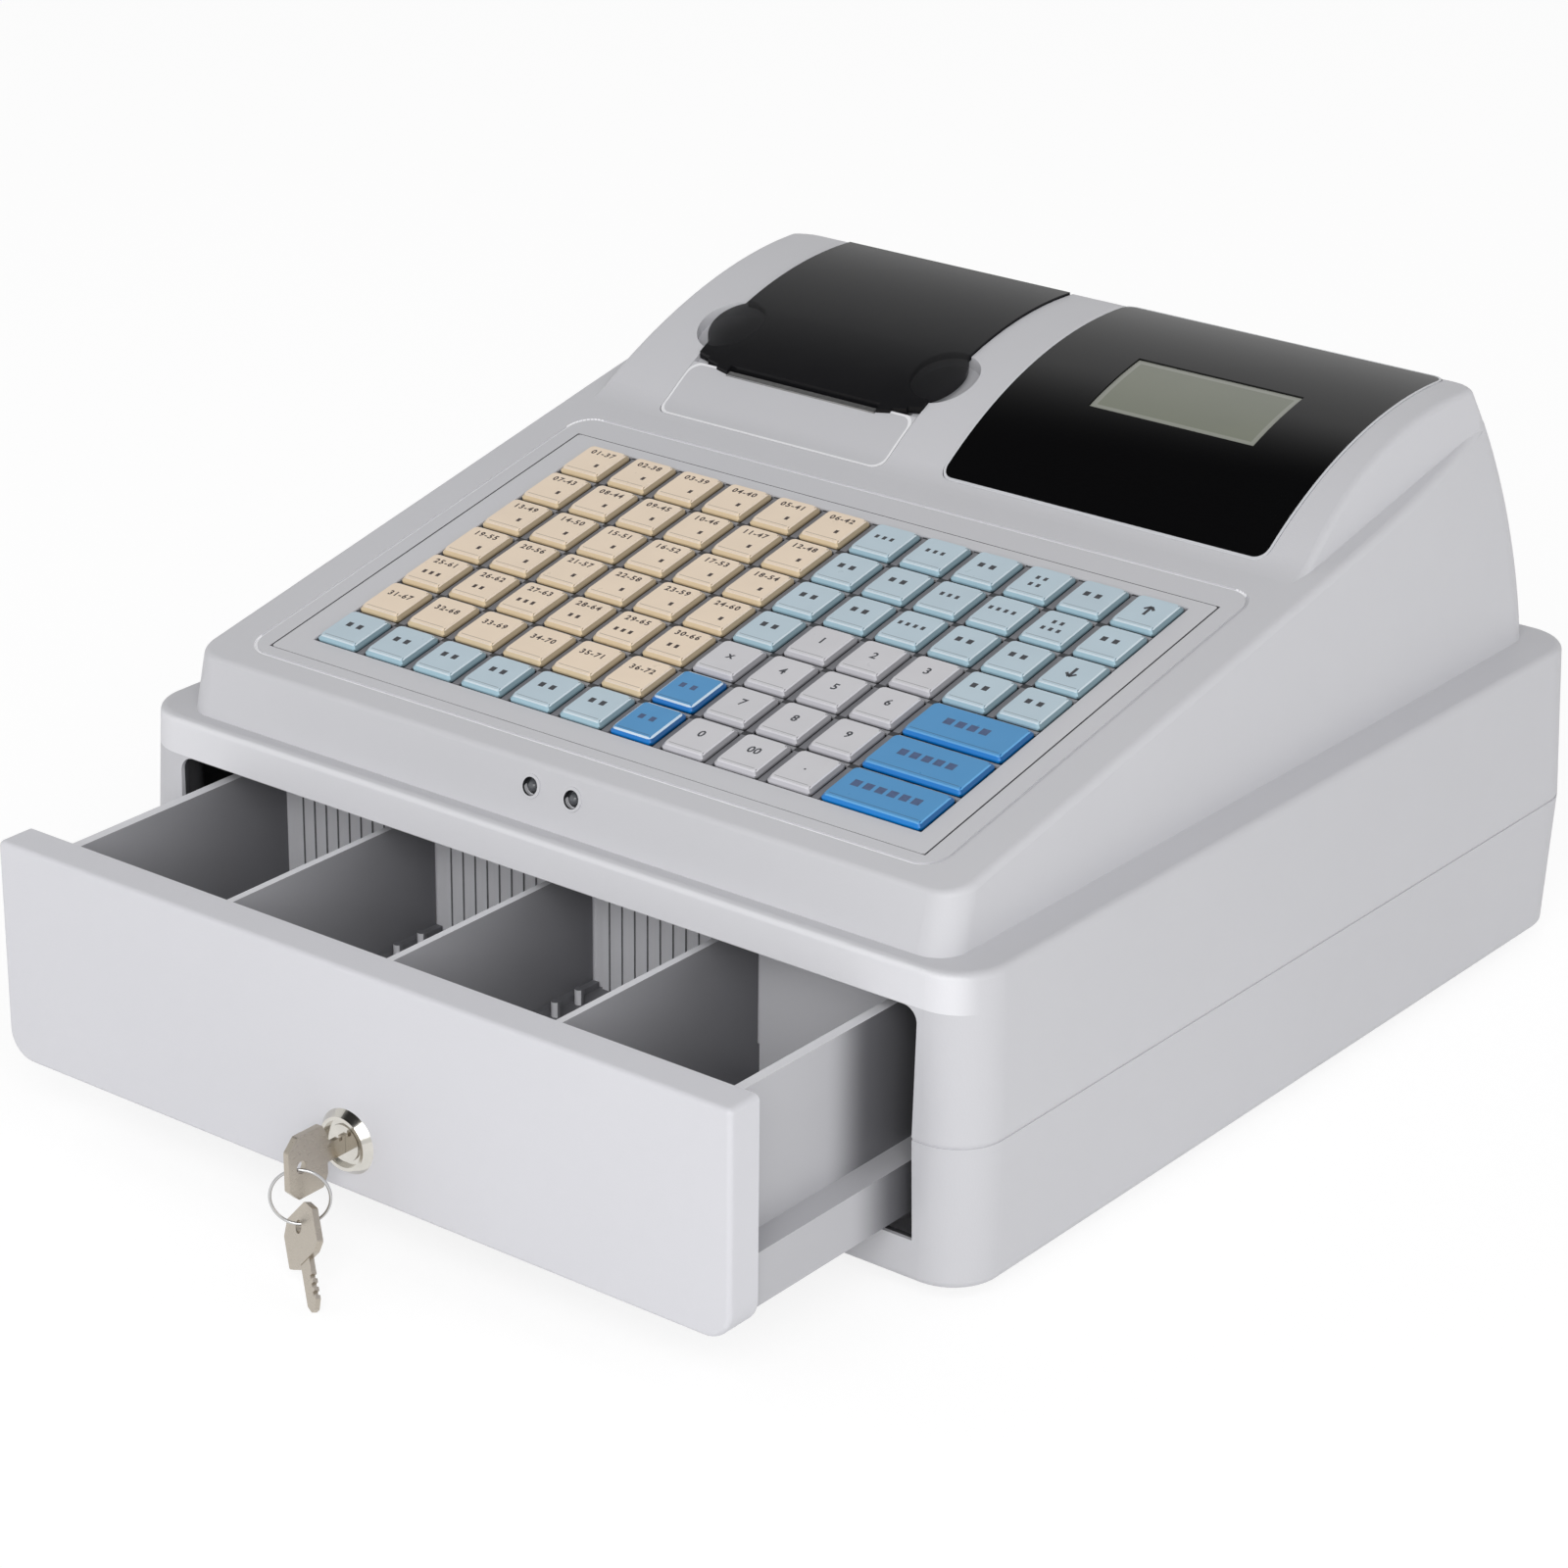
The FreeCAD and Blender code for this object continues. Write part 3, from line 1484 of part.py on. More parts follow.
def release_latch():
    """Pivoting lever that catches the striker of the closed drawer."""
    eye = rod(latch_eye_radius, 2 * latch_half, point(-latch_half, latch_y, latch_z), across)
    low = latch_z - latch_thickness / 2
    high = latch_z + latch_thickness / 2
    tip = latch_y - latch_reach
    outline = [(latch_y, low), (tip, low), (tip, high), (tip + latch_hook_depth / 2, latch_z
               + latch_hook), (tip + latch_hook_depth, latch_z + latch_hook),
               (tip + latch_hook_depth, high), (latch_y, high)]
    arm = polygon_prism([point(-latch_half, y, z) for y, z in outline],
                        across * (2 * latch_half))
    post_x = latch_half + slide_gap + latch_post
    pin = rod(latch_pivot_radius - pin_gap, 2 * post_x, point(-post_x, latch_y, latch_z), across)
    return fused([eye, arm, pin])


def all_nodes():
    """Every piece of the register by name."""
    nodes = {
        "base_lower_shell": base_lower_shell(),
        "base_upper_shell": base_upper_shell(),
        "rubber_feet": rubber_feet(),
        "case_screws": case_screws(),
        "top_housing": top_housing(),
        "indicator_lamps": indicator_lamps(),
        "display_window": display_window(),
        "screen_module": screen_module(),
        "printer_cover": printer_cover(),
        "printer_front_panel": printer_front_panel(),
        "tear_bar": tear_bar(),
        "printer_frame": printer_frame(),
        "platen_roller": platen_roller(),
        "paper_roll": paper_roll(),
        "main_board": main_board(),
        "power_supply": power_supply(),
        "power_inlet": power_inlet(),
        "keyboard_panel": keyboard_panel(),
        "keyboard_board": keyboard_board(),
        "drawer_front": drawer_front(),
        "drawer_tray": drawer_tray(),
        "lock_body": lock_body(),
        "lock_plug": lock_plug(),
        "lock_cam": lock_cam(),
        "drawer_key": drawer_key(),
        "key_ring": key_ring(),
        "spare_key": spare_key(),
        "release_latch": release_latch(),
    }
    names = ["divider_left", "divider_middle", "divider_right"]
    for name, centre in zip(names, divider_centres()):
        nodes[name] = divider(centre)
    nodes.update(key_nodes())
    return nodes


os.makedirs("parts", exist_ok=True)
for name, shape in all_nodes().items():
    shape.translate(point(0, middle_ahead, 0))
    shape.exportStep("parts/" + name + ".step")
    print(name, len(shape.Solids), shape.isValid(), round(shape.Volume))
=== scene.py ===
# %% [markdown]
# # A cash register with its drawer open
# The register stands on a white table. A two-part cabinet holds the drawer, a sloped housing
# carries the keyboard, and its arched back holds a receipt printer and a display window.
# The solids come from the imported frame. This script gives them their finishes, prints the
# keys, lights the table and sets up the camera.

import math

import bmesh
import bpy
from mathutils import Matrix, Vector


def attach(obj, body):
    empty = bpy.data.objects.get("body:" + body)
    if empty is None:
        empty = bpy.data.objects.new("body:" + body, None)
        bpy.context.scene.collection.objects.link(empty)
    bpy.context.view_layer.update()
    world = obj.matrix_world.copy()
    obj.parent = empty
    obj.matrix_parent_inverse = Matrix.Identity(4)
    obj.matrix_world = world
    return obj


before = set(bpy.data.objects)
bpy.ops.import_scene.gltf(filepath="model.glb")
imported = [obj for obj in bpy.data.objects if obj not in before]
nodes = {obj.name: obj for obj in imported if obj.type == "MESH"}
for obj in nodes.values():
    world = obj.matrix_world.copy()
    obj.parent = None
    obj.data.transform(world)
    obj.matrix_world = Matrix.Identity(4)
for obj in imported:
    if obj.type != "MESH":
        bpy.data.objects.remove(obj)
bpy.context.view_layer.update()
print("nodes in the frame:", len(nodes))

# %% [markdown]
# ## Camera
# The photograph was taken with a long lens from the front, to the right and above. Long lenses
# keep parallel edges nearly parallel, which is why the cabinet hardly tapers. The camera is
# turned by its heading first, then by its elevation, and last by a small roll.

# %% Camera
camera_place = Vector((0.8298, -1.0615, 0.6604))
camera_heading = math.radians(37.787)
camera_elevation = math.radians(23.126)
camera_roll = math.radians(0.612)
camera_lens = 105.98
camera_sensor = 36.0


def make_camera():
    data = bpy.data.cameras.new("photo_camera")
    data.lens = camera_lens
    data.sensor_width = camera_sensor
    data.clip_end = 20.0
    camera = bpy.data.objects.new("photo_camera", data)
    turn = Matrix.Rotation(camera_heading, 4, "Z")
    turn = turn @ Matrix.Rotation(math.pi / 2 - camera_elevation, 4, "X")
    turn = turn @ Matrix.Rotation(camera_roll, 4, "Z")
    camera.matrix_world = Matrix.Translation(camera_place) @ turn
    bpy.context.scene.collection.objects.link(camera)
    bpy.context.scene.camera = camera
    return camera


camera = make_camera()
print("camera stands at", [round(value, 3) for value in camera.location])

# %% [markdown]
# ## Light and table
# Product photographs of this kind are taken between white walls under a dark ceiling, with one
# large soft lamp near the camera. The world carries the walls and the ceiling: its brightness
# falls off above a set height, which is why tops look darker than fronts and the black window
# stays black in front. The camera sees plain white instead. The table shines by itself for the
# camera, so that it comes out white, and keeps a faint shadow from its plain part.

# %% Light and table
wall_light = 0.85
ceiling_light = 0.12
wall_mirrored = 0.8
ceiling_mirrored = 0.03
ceiling_starts = 0.66
ceiling_full = 0.84
key_light_watts = 25.5
key_light_place = Vector((1.18, -1.68, 1.32))
key_light_side = 1.6
light_target = Vector((0.0, 0.0, 0.08))
table_half = 6.0
table_shine = 1.1
table_shine_share = 0.75


def any_of(tree, outputs):
    """One when any of several light path flags is set."""
    found = outputs[0]
    for output in outputs[1:]:
        node = tree.nodes.new("ShaderNodeMath")
        node.operation = "MAXIMUM"
        tree.links.new(found, node.inputs[0])
        tree.links.new(output, node.inputs[1])
        found = node.outputs[0]
    return found


def number_mix(tree, factor, low, high):
    """Number that runs from low to high, where each is a value or a socket."""
    node = tree.nodes.new("ShaderNodeMix")
    tree.links.new(factor, node.inputs["Factor"])
    for name, value in (("A", low), ("B", high)):
        if isinstance(value, float):
            node.inputs[name].default_value = value
        else:
            tree.links.new(value, node.inputs[name])
    return node.outputs["Result"]


def make_world():
    world = bpy.data.worlds.new("studio")
    world.use_nodes = True
    tree = world.node_tree
    tree.nodes.clear()
    split = tree.nodes.new("ShaderNodeSeparateXYZ")
    way = tree.nodes.new("ShaderNodeTexCoord").outputs["Generated"]
    tree.links.new(way, split.inputs[0])
    ceiling = tree.nodes.new("ShaderNodeMapRange")
    ceiling.interpolation_type = "SMOOTHSTEP"
    tree.links.new(split.outputs["Z"], ceiling.inputs["Value"])
    ceiling.inputs["From Min"].default_value = ceiling_starts
    ceiling.inputs["From Max"].default_value = ceiling_full
    path = tree.nodes.new("ShaderNodeLightPath")
    mirrored = any_of(tree, [path.outputs["Is Glossy Ray"], path.outputs["Is Transmission Ray"]])
    plain = number_mix(tree, ceiling.outputs["Result"], wall_light, ceiling_light)
    shiny = number_mix(tree, ceiling.outputs["Result"], wall_mirrored, ceiling_mirrored)
    unseen = number_mix(tree, mirrored, plain, shiny)
    strength = number_mix(tree, path.outputs["Is Camera Ray"], unseen, 1.0)
    background = tree.nodes.new("ShaderNodeBackground")
    background.inputs["Color"].default_value = (1.0, 1.0, 1.0, 1.0)
    tree.links.new(strength, background.inputs["Strength"])
    output = tree.nodes.new("ShaderNodeOutputWorld")
    tree.links.new(background.outputs[0], output.inputs["Surface"])
    bpy.context.scene.world = world


def make_lamp(name, place, side, watts):
    data = bpy.data.lights.new(name, "AREA")
    data.shape = "SQUARE"
    data.size = side
    data.energy = watts
    lamp = bpy.data.objects.new(name, data)
    aim = (light_target - place).to_track_quat("-Z", "Y")
    lamp.matrix_world = Matrix.Translation(place) @ aim.to_matrix().to_4x4()
    bpy.context.scene.collection.objects.link(lamp)
    return lamp


def make_table():
    mesh = bpy.data.meshes.new("table")
    work = bmesh.new()
    bmesh.ops.create_grid(work, x_segments=1, y_segments=1, size=table_half)
    work.to_mesh(mesh)
    work.free()
    table = bpy.data.objects.new("table", mesh)
    bpy.context.scene.collection.objects.link(table)
    return table


def table_material():
    material = bpy.data.materials.new("white_table")
    material.use_nodes = True
    tree = material.node_tree
    shader = tree.nodes["Principled BSDF"]
    shader.inputs["Base Color"].default_value = (0.97, 0.97, 0.97, 1.0)
    shader.inputs["Roughness"].default_value = 0.9
    shader.inputs["Specular IOR Level"].default_value = 0.0
    shine = tree.nodes.new("ShaderNodeEmission")
    shine.inputs["Strength"].default_value = table_shine
    path = tree.nodes.new("ShaderNodeLightPath")
    seen = any_of(tree, [path.outputs["Is Camera Ray"], path.outputs["Is Glossy Ray"]])
    share = number_mix(tree, seen, 0.0, table_shine_share)
    mix = tree.nodes.new("ShaderNodeMixShader")
    tree.links.new(share, mix.inputs[0])
    tree.links.new(shader.outputs[0], mix.inputs[1])
    tree.links.new(shine.outputs[0], mix.inputs[2])
    tree.links.new(mix.outputs[0], tree.nodes["Material Output"].inputs["Surface"])
    return material


make_world()
make_lamp("key_lamp", key_light_place, key_light_side, key_light_watts)
table = make_table()
table.data.materials.append(table_material())
bpy.context.scene.view_settings.view_transform = "Standard"

# %% [markdown]
# ## Shared shader effects
# Moulded plastic is never quite even. Its mould leaves a fine grain that catches the light, and
# the colour drifts a little over a large panel. Both come from noise on object coordinates, so
# the pattern stays on the piece when it moves. The group gives a height for the bump, a factor
# for the colour and one for the roughness, and each material mixes them in its own way.

# %% Grain group


def new_group(name, inputs, outputs):
    """Empty node group with named float inputs and outputs."""
    group = bpy.data.node_groups.new(name, "ShaderNodeTree")
    for label, value in inputs:
        socket = group.interface.new_socket(label, in_out="INPUT", socket_type="NodeSocketFloat")
        socket.default_value = value
    for label in outputs:
        group.interface.new_socket(label, in_out="OUTPUT", socket_type="NodeSocketFloat")
    start = group.nodes.new("NodeGroupInput")
    end = group.nodes.new("NodeGroupOutput")
    return group, start, end


def noise_node(tree, vector, scale_socket=None, scale=None, detail=2.0):
    node = tree.nodes.new("ShaderNodeTexNoise")
    node.inputs["Detail"].default_value = detail
    tree.links.new(vector, node.inputs["Vector"])
    if scale_socket is not None:
        tree.links.new(scale_socket, node.inputs["Scale"])
    else:
        node.inputs["Scale"].default_value = scale
    return node.outputs["Fac"]


def make_grain_group():
    group, start, end = new_group(
        "moulded_grain", [("Grain Scale", 1500.0), ("Drift Scale", 9.0)],
        ["Height", "Drift", "Gloss"])
    place = group.nodes.new("ShaderNodeTexCoord").outputs["Object"]
    fine = noise_node(group, place, scale_socket=start.outputs["Grain Scale"])
    drift = noise_node(group, place, scale_socket=start.outputs["Drift Scale"], detail=3.0)
    gloss = noise_node(group, place, scale=140.0, detail=4.0)
    group.links.new(fine, end.inputs["Height"])
    group.links.new(drift, end.inputs["Drift"])
    group.links.new(gloss, end.inputs["Gloss"])
    return group


grain_group = make_grain_group()
print("grain group nodes:", len(grain_group.nodes))

# %% [markdown]
# ## Plastic of the cabinet, the housing and the drawer
# The cabinet is light grey, matt and slightly blue. A Principled shader with a high roughness
# gives the soft sheen, a bump of a few hundredths of a millimetre gives the grain, and the drift
# keeps large faces from looking painted with one colour.

# %% Plastic materials


def linear(red, green, blue):
    """Colour as a screen shows it, turned into the linear values that shaders use."""
    values = []
    for value in (red, green, blue):
        share = value / 255
        values.append(share / 12.92 if share < 0.04045 else ((share + 0.055) / 1.055) ** 2.4)
    return (values[0], values[1], values[2], 1.0)


def shaded(colour, factor):
    return (colour[0] * factor, colour[1] * factor, colour[2] * factor, 1.0)


def new_material(name):
    material = bpy.data.materials.new(name)
    material.use_nodes = True
    tree = material.node_tree
    return material, tree, tree.nodes["Principled BSDF"]


def grain_in(tree, grain_scale, drift_scale):
    node = tree.nodes.new("ShaderNodeGroup")
    node.node_tree = grain_group
    node.inputs["Grain Scale"].default_value = grain_scale
    node.inputs["Drift Scale"].default_value = drift_scale
    return node


def ramp_between(tree, factor, low, high):
    """Colour that runs from low to high with the factor."""
    mix = tree.nodes.new("ShaderNodeMix")
    mix.data_type = "RGBA"
    tree.links.new(factor, mix.inputs["Factor"])
    mix.inputs["A"].default_value = low
    mix.inputs["B"].default_value = high
    return mix.outputs["Result"]


def value_between(tree, factor, low, high):
    """Number that runs from low to high with the factor."""
    node = tree.nodes.new("ShaderNodeMapRange")
    tree.links.new(factor, node.inputs["Value"])
    node.inputs["To Min"].default_value = low
    node.inputs["To Max"].default_value = high
    return node.outputs["Result"]


def add_bump(tree, shader, height, distance, strength=1.0):
    bump = tree.nodes.new("ShaderNodeBump")
    bump.inputs["Distance"].default_value = distance
    bump.inputs["Strength"].default_value = strength
    tree.links.new(height, bump.inputs["Height"])
    tree.links.new(bump.outputs["Normal"], shader.inputs["Normal"])


def moulded_plastic(name, colour, roughness, grain_depth, grain_scale=1500.0, spread=0.03):
    """Matt or satin plastic with mould grain and a slight drift of colour."""
    material, tree, shader = new_material(name)
    grain = grain_in(tree, grain_scale, 9.0)
    base = ramp_between(tree, grain.outputs["Drift"], shaded(colour, 1 - spread),
                        shaded(colour, 1 + spread))
    tree.links.new(base, shader.inputs["Base Color"])
    rough = value_between(tree, grain.outputs["Gloss"], roughness - 0.06, roughness + 0.06)
    tree.links.new(rough, shader.inputs["Roughness"])
    add_bump(tree, shader, grain.outputs["Height"], grain_depth)
    return material


cabinet_plastic = moulded_plastic("cabinet_plastic", linear(203, 203, 207), 0.5, 0.00003)
housing_plastic = moulded_plastic("housing_plastic", linear(206, 206, 210), 0.48, 0.00003)
front_plastic = moulded_plastic("front_plastic", linear(214, 214, 219), 0.5, 0.00003)
panel_plastic = moulded_plastic("panel_plastic", linear(201, 201, 205), 0.42, 0.00002)
well_plastic = moulded_plastic("well_plastic", linear(207, 207, 211), 0.42, 0.00002)
tray_plastic = moulded_plastic("tray_plastic", linear(186, 186, 190), 0.38, 0.00001)
black_plastic = moulded_plastic("black_plastic", linear(26, 26, 28), 0.45, 0.00002)
foot_rubber = moulded_plastic("foot_rubber", linear(38, 38, 40), 0.75, 0.00004, 900.0)
print("plastics:", [m.name for m in (cabinet_plastic, housing_plastic, front_plastic)])

# %% [markdown]
# ## Keys
# Every key is a coloured cap under a clear cover. The flat top shows the label, the leaning
# sides show a stronger colour, and the rim between them is painted as a thin pale line, a painted
# highlight where the edge of the clear cover catches the light. The front edge of the label lies a
# little behind the rim. The sides that face right are painted darker, as painted shade from the
# next key, and the skirts are painted dark below the deck, as painted shade in the gaps. All keys
# stand on one sloped grid, so a shader can find its place on a key by turning the object
# coordinates into the slope of the deck and taking what is left of the key pitch.

# %% Key shader group
deck_angle = math.radians(11.65)
deck_origin = Vector((0.0011, -0.0235, 0.1416))
key_pitch = 0.020
key_half_x = 0.0083
key_half_y = 0.0089
key_top_height = 0.0016
key_top_inset = 0.0009
label_inset = 0.0021
label_line_width = 0.00016
rim_depth = 0.0005
side_depth = 0.0003
gap_depth = -0.0001
gap_softness = 0.0006


def math_node(tree, operation, first, second=None):
    node = tree.nodes.new("ShaderNodeMath")
    node.operation = operation
    for index, value in enumerate((first, second)):
        if value is None:
            continue
        if isinstance(value, (int, float)):
            node.inputs[index].default_value = value
        else:
            tree.links.new(value, node.inputs[index])
    return node.outputs[0]


def deck_coordinates(tree):
    """Object coordinates turned into the slope of the deck."""
    place = tree.nodes.new("ShaderNodeTexCoord").outputs["Object"]
    move = tree.nodes.new("ShaderNodeVectorMath")
    move.operation = "SUBTRACT"
    move.inputs[1].default_value = deck_origin
    tree.links.new(place, move.inputs[0])
    turn = tree.nodes.new("ShaderNodeVectorRotate")
    turn.rotation_type = "X_AXIS"
    turn.inputs["Angle"].default_value = -deck_angle
    tree.links.new(move.outputs[0], turn.inputs["Vector"])
    split = tree.nodes.new("ShaderNodeSeparateXYZ")
    tree.links.new(turn.outputs[0], split.inputs[0])
    return split.outputs["X"], split.outputs["Y"], split.outputs["Z"]


def from_cell_middle(tree, value, pitch, shift):
    """Signed distance from the middle of the cell that a place lies in."""
    moved = math_node(tree, "SUBTRACT", value, shift)
    wrapped = math_node(tree, "WRAP", moved, pitch / 2)
    tree.nodes[-1].inputs[2].default_value = -pitch / 2
    return wrapped


def fade_below(tree, value, level, softness):
    """One well below a level, zero above it, with a soft step between."""
    node = tree.nodes.new("ShaderNodeMapRange")
    node.interpolation_type = "SMOOTHSTEP"
    tree.links.new(value, node.inputs["Value"])
    node.inputs["From Min"].default_value = level
    node.inputs["From Max"].default_value = level - softness
    return node.outputs["Result"]


def facing_value(tree, axis):
    """How far the surface of the piece faces along an axis, from minus one to one."""
    normal = tree.nodes.new("ShaderNodeTexCoord").outputs["Normal"]
    split = tree.nodes.new("ShaderNodeSeparateXYZ")
    tree.links.new(normal, split.inputs[0])
    return split.outputs[axis]


def facing(tree, axis, least=0.5):
    """One where the surface faces along an axis, else zero."""
    return math_node(tree, "GREATER_THAN", facing_value(tree, axis), least)


def make_key_group(name, cell_width):
    """Masks of a key: painted rim highlight, sides, painted shade on the right side, front line of
    the label and painted shade in the gap.
    """
    group, start, end = new_group(name, [("Rim Width", 0.0005)],
                                  ["Rim", "Side", "Right", "Line", "Gap Shade"])
    x, y, z = deck_coordinates(group)
    cell_x = from_cell_middle(group, x, cell_width, cell_width / 2)
    cell_y = from_cell_middle(group, y, key_pitch, key_pitch / 2)
    side_x = math_node(group, "ABSOLUTE", cell_x)
    side_y = math_node(group, "ABSOLUTE", cell_y)
    extra = cell_width / 2 - key_pitch / 2
    far_x = math_node(group, "SUBTRACT", side_x, extra + key_half_x - key_top_inset)
    far_y = math_node(group, "SUBTRACT", side_y, key_half_y - key_top_inset)
    nearness = math_node(group, "ABSOLUTE", math_node(group, "MAXIMUM", far_x, far_y))
    on_highlit_rim = math_node(group, "LESS_THAN", nearness, start.outputs["Rim Width"])
    high = math_node(group, "GREATER_THAN", z, key_top_height - rim_depth)
    rim_highlight = math_node(group, "MULTIPLY", on_highlit_rim, high)
    side = math_node(group, "LESS_THAN", z, key_top_height - side_depth)
    from_line = math_node(group, "ADD", cell_y, key_half_y - label_inset)
    ahead = math_node(group, "ABSOLUTE", from_line)
    on_line = math_node(group, "LESS_THAN", ahead, label_line_width)
    inside = math_node(group, "LESS_THAN", side_x, extra + key_half_x - label_inset)
    line = math_node(group, "MULTIPLY", on_line, inside)
    gap_shade = fade_below(group, z, gap_depth, gap_softness)
    group.links.new(rim_highlight, end.inputs["Rim"])
    group.links.new(side, end.inputs["Side"])
    group.links.new(facing(group, "X"), end.inputs["Right"])
    group.links.new(line, end.inputs["Line"])
    group.links.new(gap_shade, end.inputs["Gap Shade"])
    return group


single_key_group = make_key_group("key_masks", key_pitch)
wide_key_group = make_key_group("wide_key_masks", 2 * key_pitch)
print("key groups:", single_key_group.name, wide_key_group.name)

# %% Key materials


def colour_over(tree, below, mask, colour):
    """Lay a colour over what is below where the mask is one."""
    mix = tree.nodes.new("ShaderNodeMix")
    mix.data_type = "RGBA"
    tree.links.new(mask, mix.inputs["Factor"])
    tree.links.new(below, mix.inputs["A"])
    mix.inputs["B"].default_value = colour
    return mix.outputs["Result"]


top_drift_share = 0.06
label_line_share = 0.55
right_shade_share = 0.5
gap_shade_share = 0.08
plain_rim_width = 0.00018
bright_rim_width = 0.0003


def key_plastic(name, top, side, rim_highlight, group, rim_width=plain_rim_width):
    """Clear-covered key: label colour on top, strong sides, painted highlight at the rim, painted
    shade on the right sides and a skirt painted dark as shade.
    """
    material, tree, shader = new_material(name)
    masks = tree.nodes.new("ShaderNodeGroup")
    masks.node_tree = group
    masks.inputs["Rim Width"].default_value = rim_width
    grain = grain_in(tree, 2500.0, 60.0)
    paint = ramp_between(tree, grain.outputs["Drift"], shaded(top, 1 - top_drift_share),
                         shaded(top, 1 + top_drift_share))
    paint = colour_over(tree, paint, masks.outputs["Line"], shaded(top, label_line_share))
    paint = colour_over(tree, paint, masks.outputs["Side"], side)
    # Painted shade: the sides that face right are darker, as they lie in the shade of the next
    # key.
    paint = colour_over(tree, paint, masks.outputs["Right"], shaded(side, right_shade_share))
    # Painted highlight: a pale line at the rim, where the edge of the clear cover catches the
    # light.
    paint = colour_over(tree, paint, masks.outputs["Rim"], rim_highlight)
    # Painted shade: the skirt below the deck is painted dark, as the shade in the gaps between
    # keys.
    paint = colour_over(tree, paint, masks.outputs["Gap Shade"], shaded(side, gap_shade_share))
    tree.links.new(paint, shader.inputs["Base Color"])
    rough = value_between(tree, grain.outputs["Gloss"], 0.24, 0.36)
    tree.links.new(rough, shader.inputs["Roughness"])
    add_bump(tree, shader, grain.outputs["Height"], 0.00001)
    return material


cream_key = key_plastic("cream_key", linear(243, 223, 199), linear(222, 200, 164),
                        linear(232, 216, 198), single_key_group)
pale_key = key_plastic("pale_blue_key", linear(190, 209, 220), linear(160, 192, 206),
                       linear(206, 220, 228), single_key_group)
grey_key = key_plastic("grey_key", linear(211, 210, 214), linear(192, 191, 197),
                       linear(212, 211, 216), single_key_group)
blue_key = key_plastic("blue_key", linear(70, 148, 204), linear(0, 118, 200),
                       linear(205, 225, 242), single_key_group, bright_rim_width)
wide_blue_key = key_plastic("wide_blue_key", linear(70, 148, 204), linear(0, 124, 206),
                            linear(96, 168, 222), wide_key_group)


def darker_low_down(material, masks, level, softness, factor):
    """Darken a plain plastic below a height, as painted shade where the light does not reach."""
    tree = material.node_tree
    shader = tree.nodes["Principled BSDF"]
    below = shader.inputs["Base Color"].links[0].from_socket
    low = fade_below(tree, masks, level, softness)
    mix = tree.nodes.new("ShaderNodeMix")
    mix.data_type = "RGBA"
    mix.blend_type = "MULTIPLY"
    tree.links.new(low, mix.inputs["Factor"])
    tree.links.new(below, mix.inputs["A"])
    mix.inputs["B"].default_value = (factor, factor, factor, 1.0)
    tree.links.new(mix.outputs["Result"], shader.inputs["Base Color"])


well_shade_level = -0.0008
well_shade_softness = 0.0015
well_shade_share = 0.05
# Painted shade: the well of the keyboard is darkened below the deck.
darker_low_down(well_plastic, deck_coordinates(well_plastic.node_tree)[2], well_shade_level,
                well_shade_softness, well_shade_share)
print("key materials ready")

# %% [markdown]
# ## Lines on the deck, painted light and painted shade
# A groove runs round the keyboard and is painted as a pale highlight line at the back, on the left
# and in front, while the edge of the panel on both sides is a dark seam. The rim of the printer
# panel gets a painted highlight as well. The drawer is painted darker inside the further back it
# gets, as painted shade: the walls that face right turn away from the light, and the floors lie
# deep, while the faces inside that face the front and the tops of the rims are painted paler, as
# painted light. The cabinet is painted dark inside and the side of the tray gets darker towards
# its back, both painted shade, and the band over the opening is painted a little paler, as painted
# light. Each of these is a mask from the place or the facing of the surface, laid over the plain
# plastic.

# %% Lines and shade
groove_edges = {"left": -0.1366, "right": 0.1344, "front": -0.0740, "back": 0.0960}
groove_corner = 0.009
groove_width = 0.0011
groove_open_end = 0.004
deck_low = -0.0015
deck_high = 0.0005
panel_half = 0.1280
seam_width = 0.0003
printer_panel_corner = 0.005
printer_rim_width = 0.0008
seat_edges = {"left": -0.1291, "right": 0.1269, "front": -0.0686, "back": 0.0844}
tray_inside_right = 0.1275
bay_front = -0.181
bay_back = -0.085
low_floor = 0.060
rim_height = 0.0872
shade_starts = -0.140
shade_full = -0.119
cabinet_edges = {"left": -0.1650, "right": 0.1650, "front": -0.1170, "back": 0.2300}
cabinet_corner = 0.0165
shell_skin = 0.0026
inside_low = 0.0105
inside_high = 0.1035
opening_top = 0.0940
front_facing_limit = -0.5
front_softness = 0.45


def object_place(tree):
    place = tree.nodes.new("ShaderNodeTexCoord").outputs["Object"]
    split = tree.nodes.new("ShaderNodeSeparateXYZ")
    tree.links.new(place, split.inputs[0])
    return split.outputs["X"], split.outputs["Y"], split.outputs["Z"]


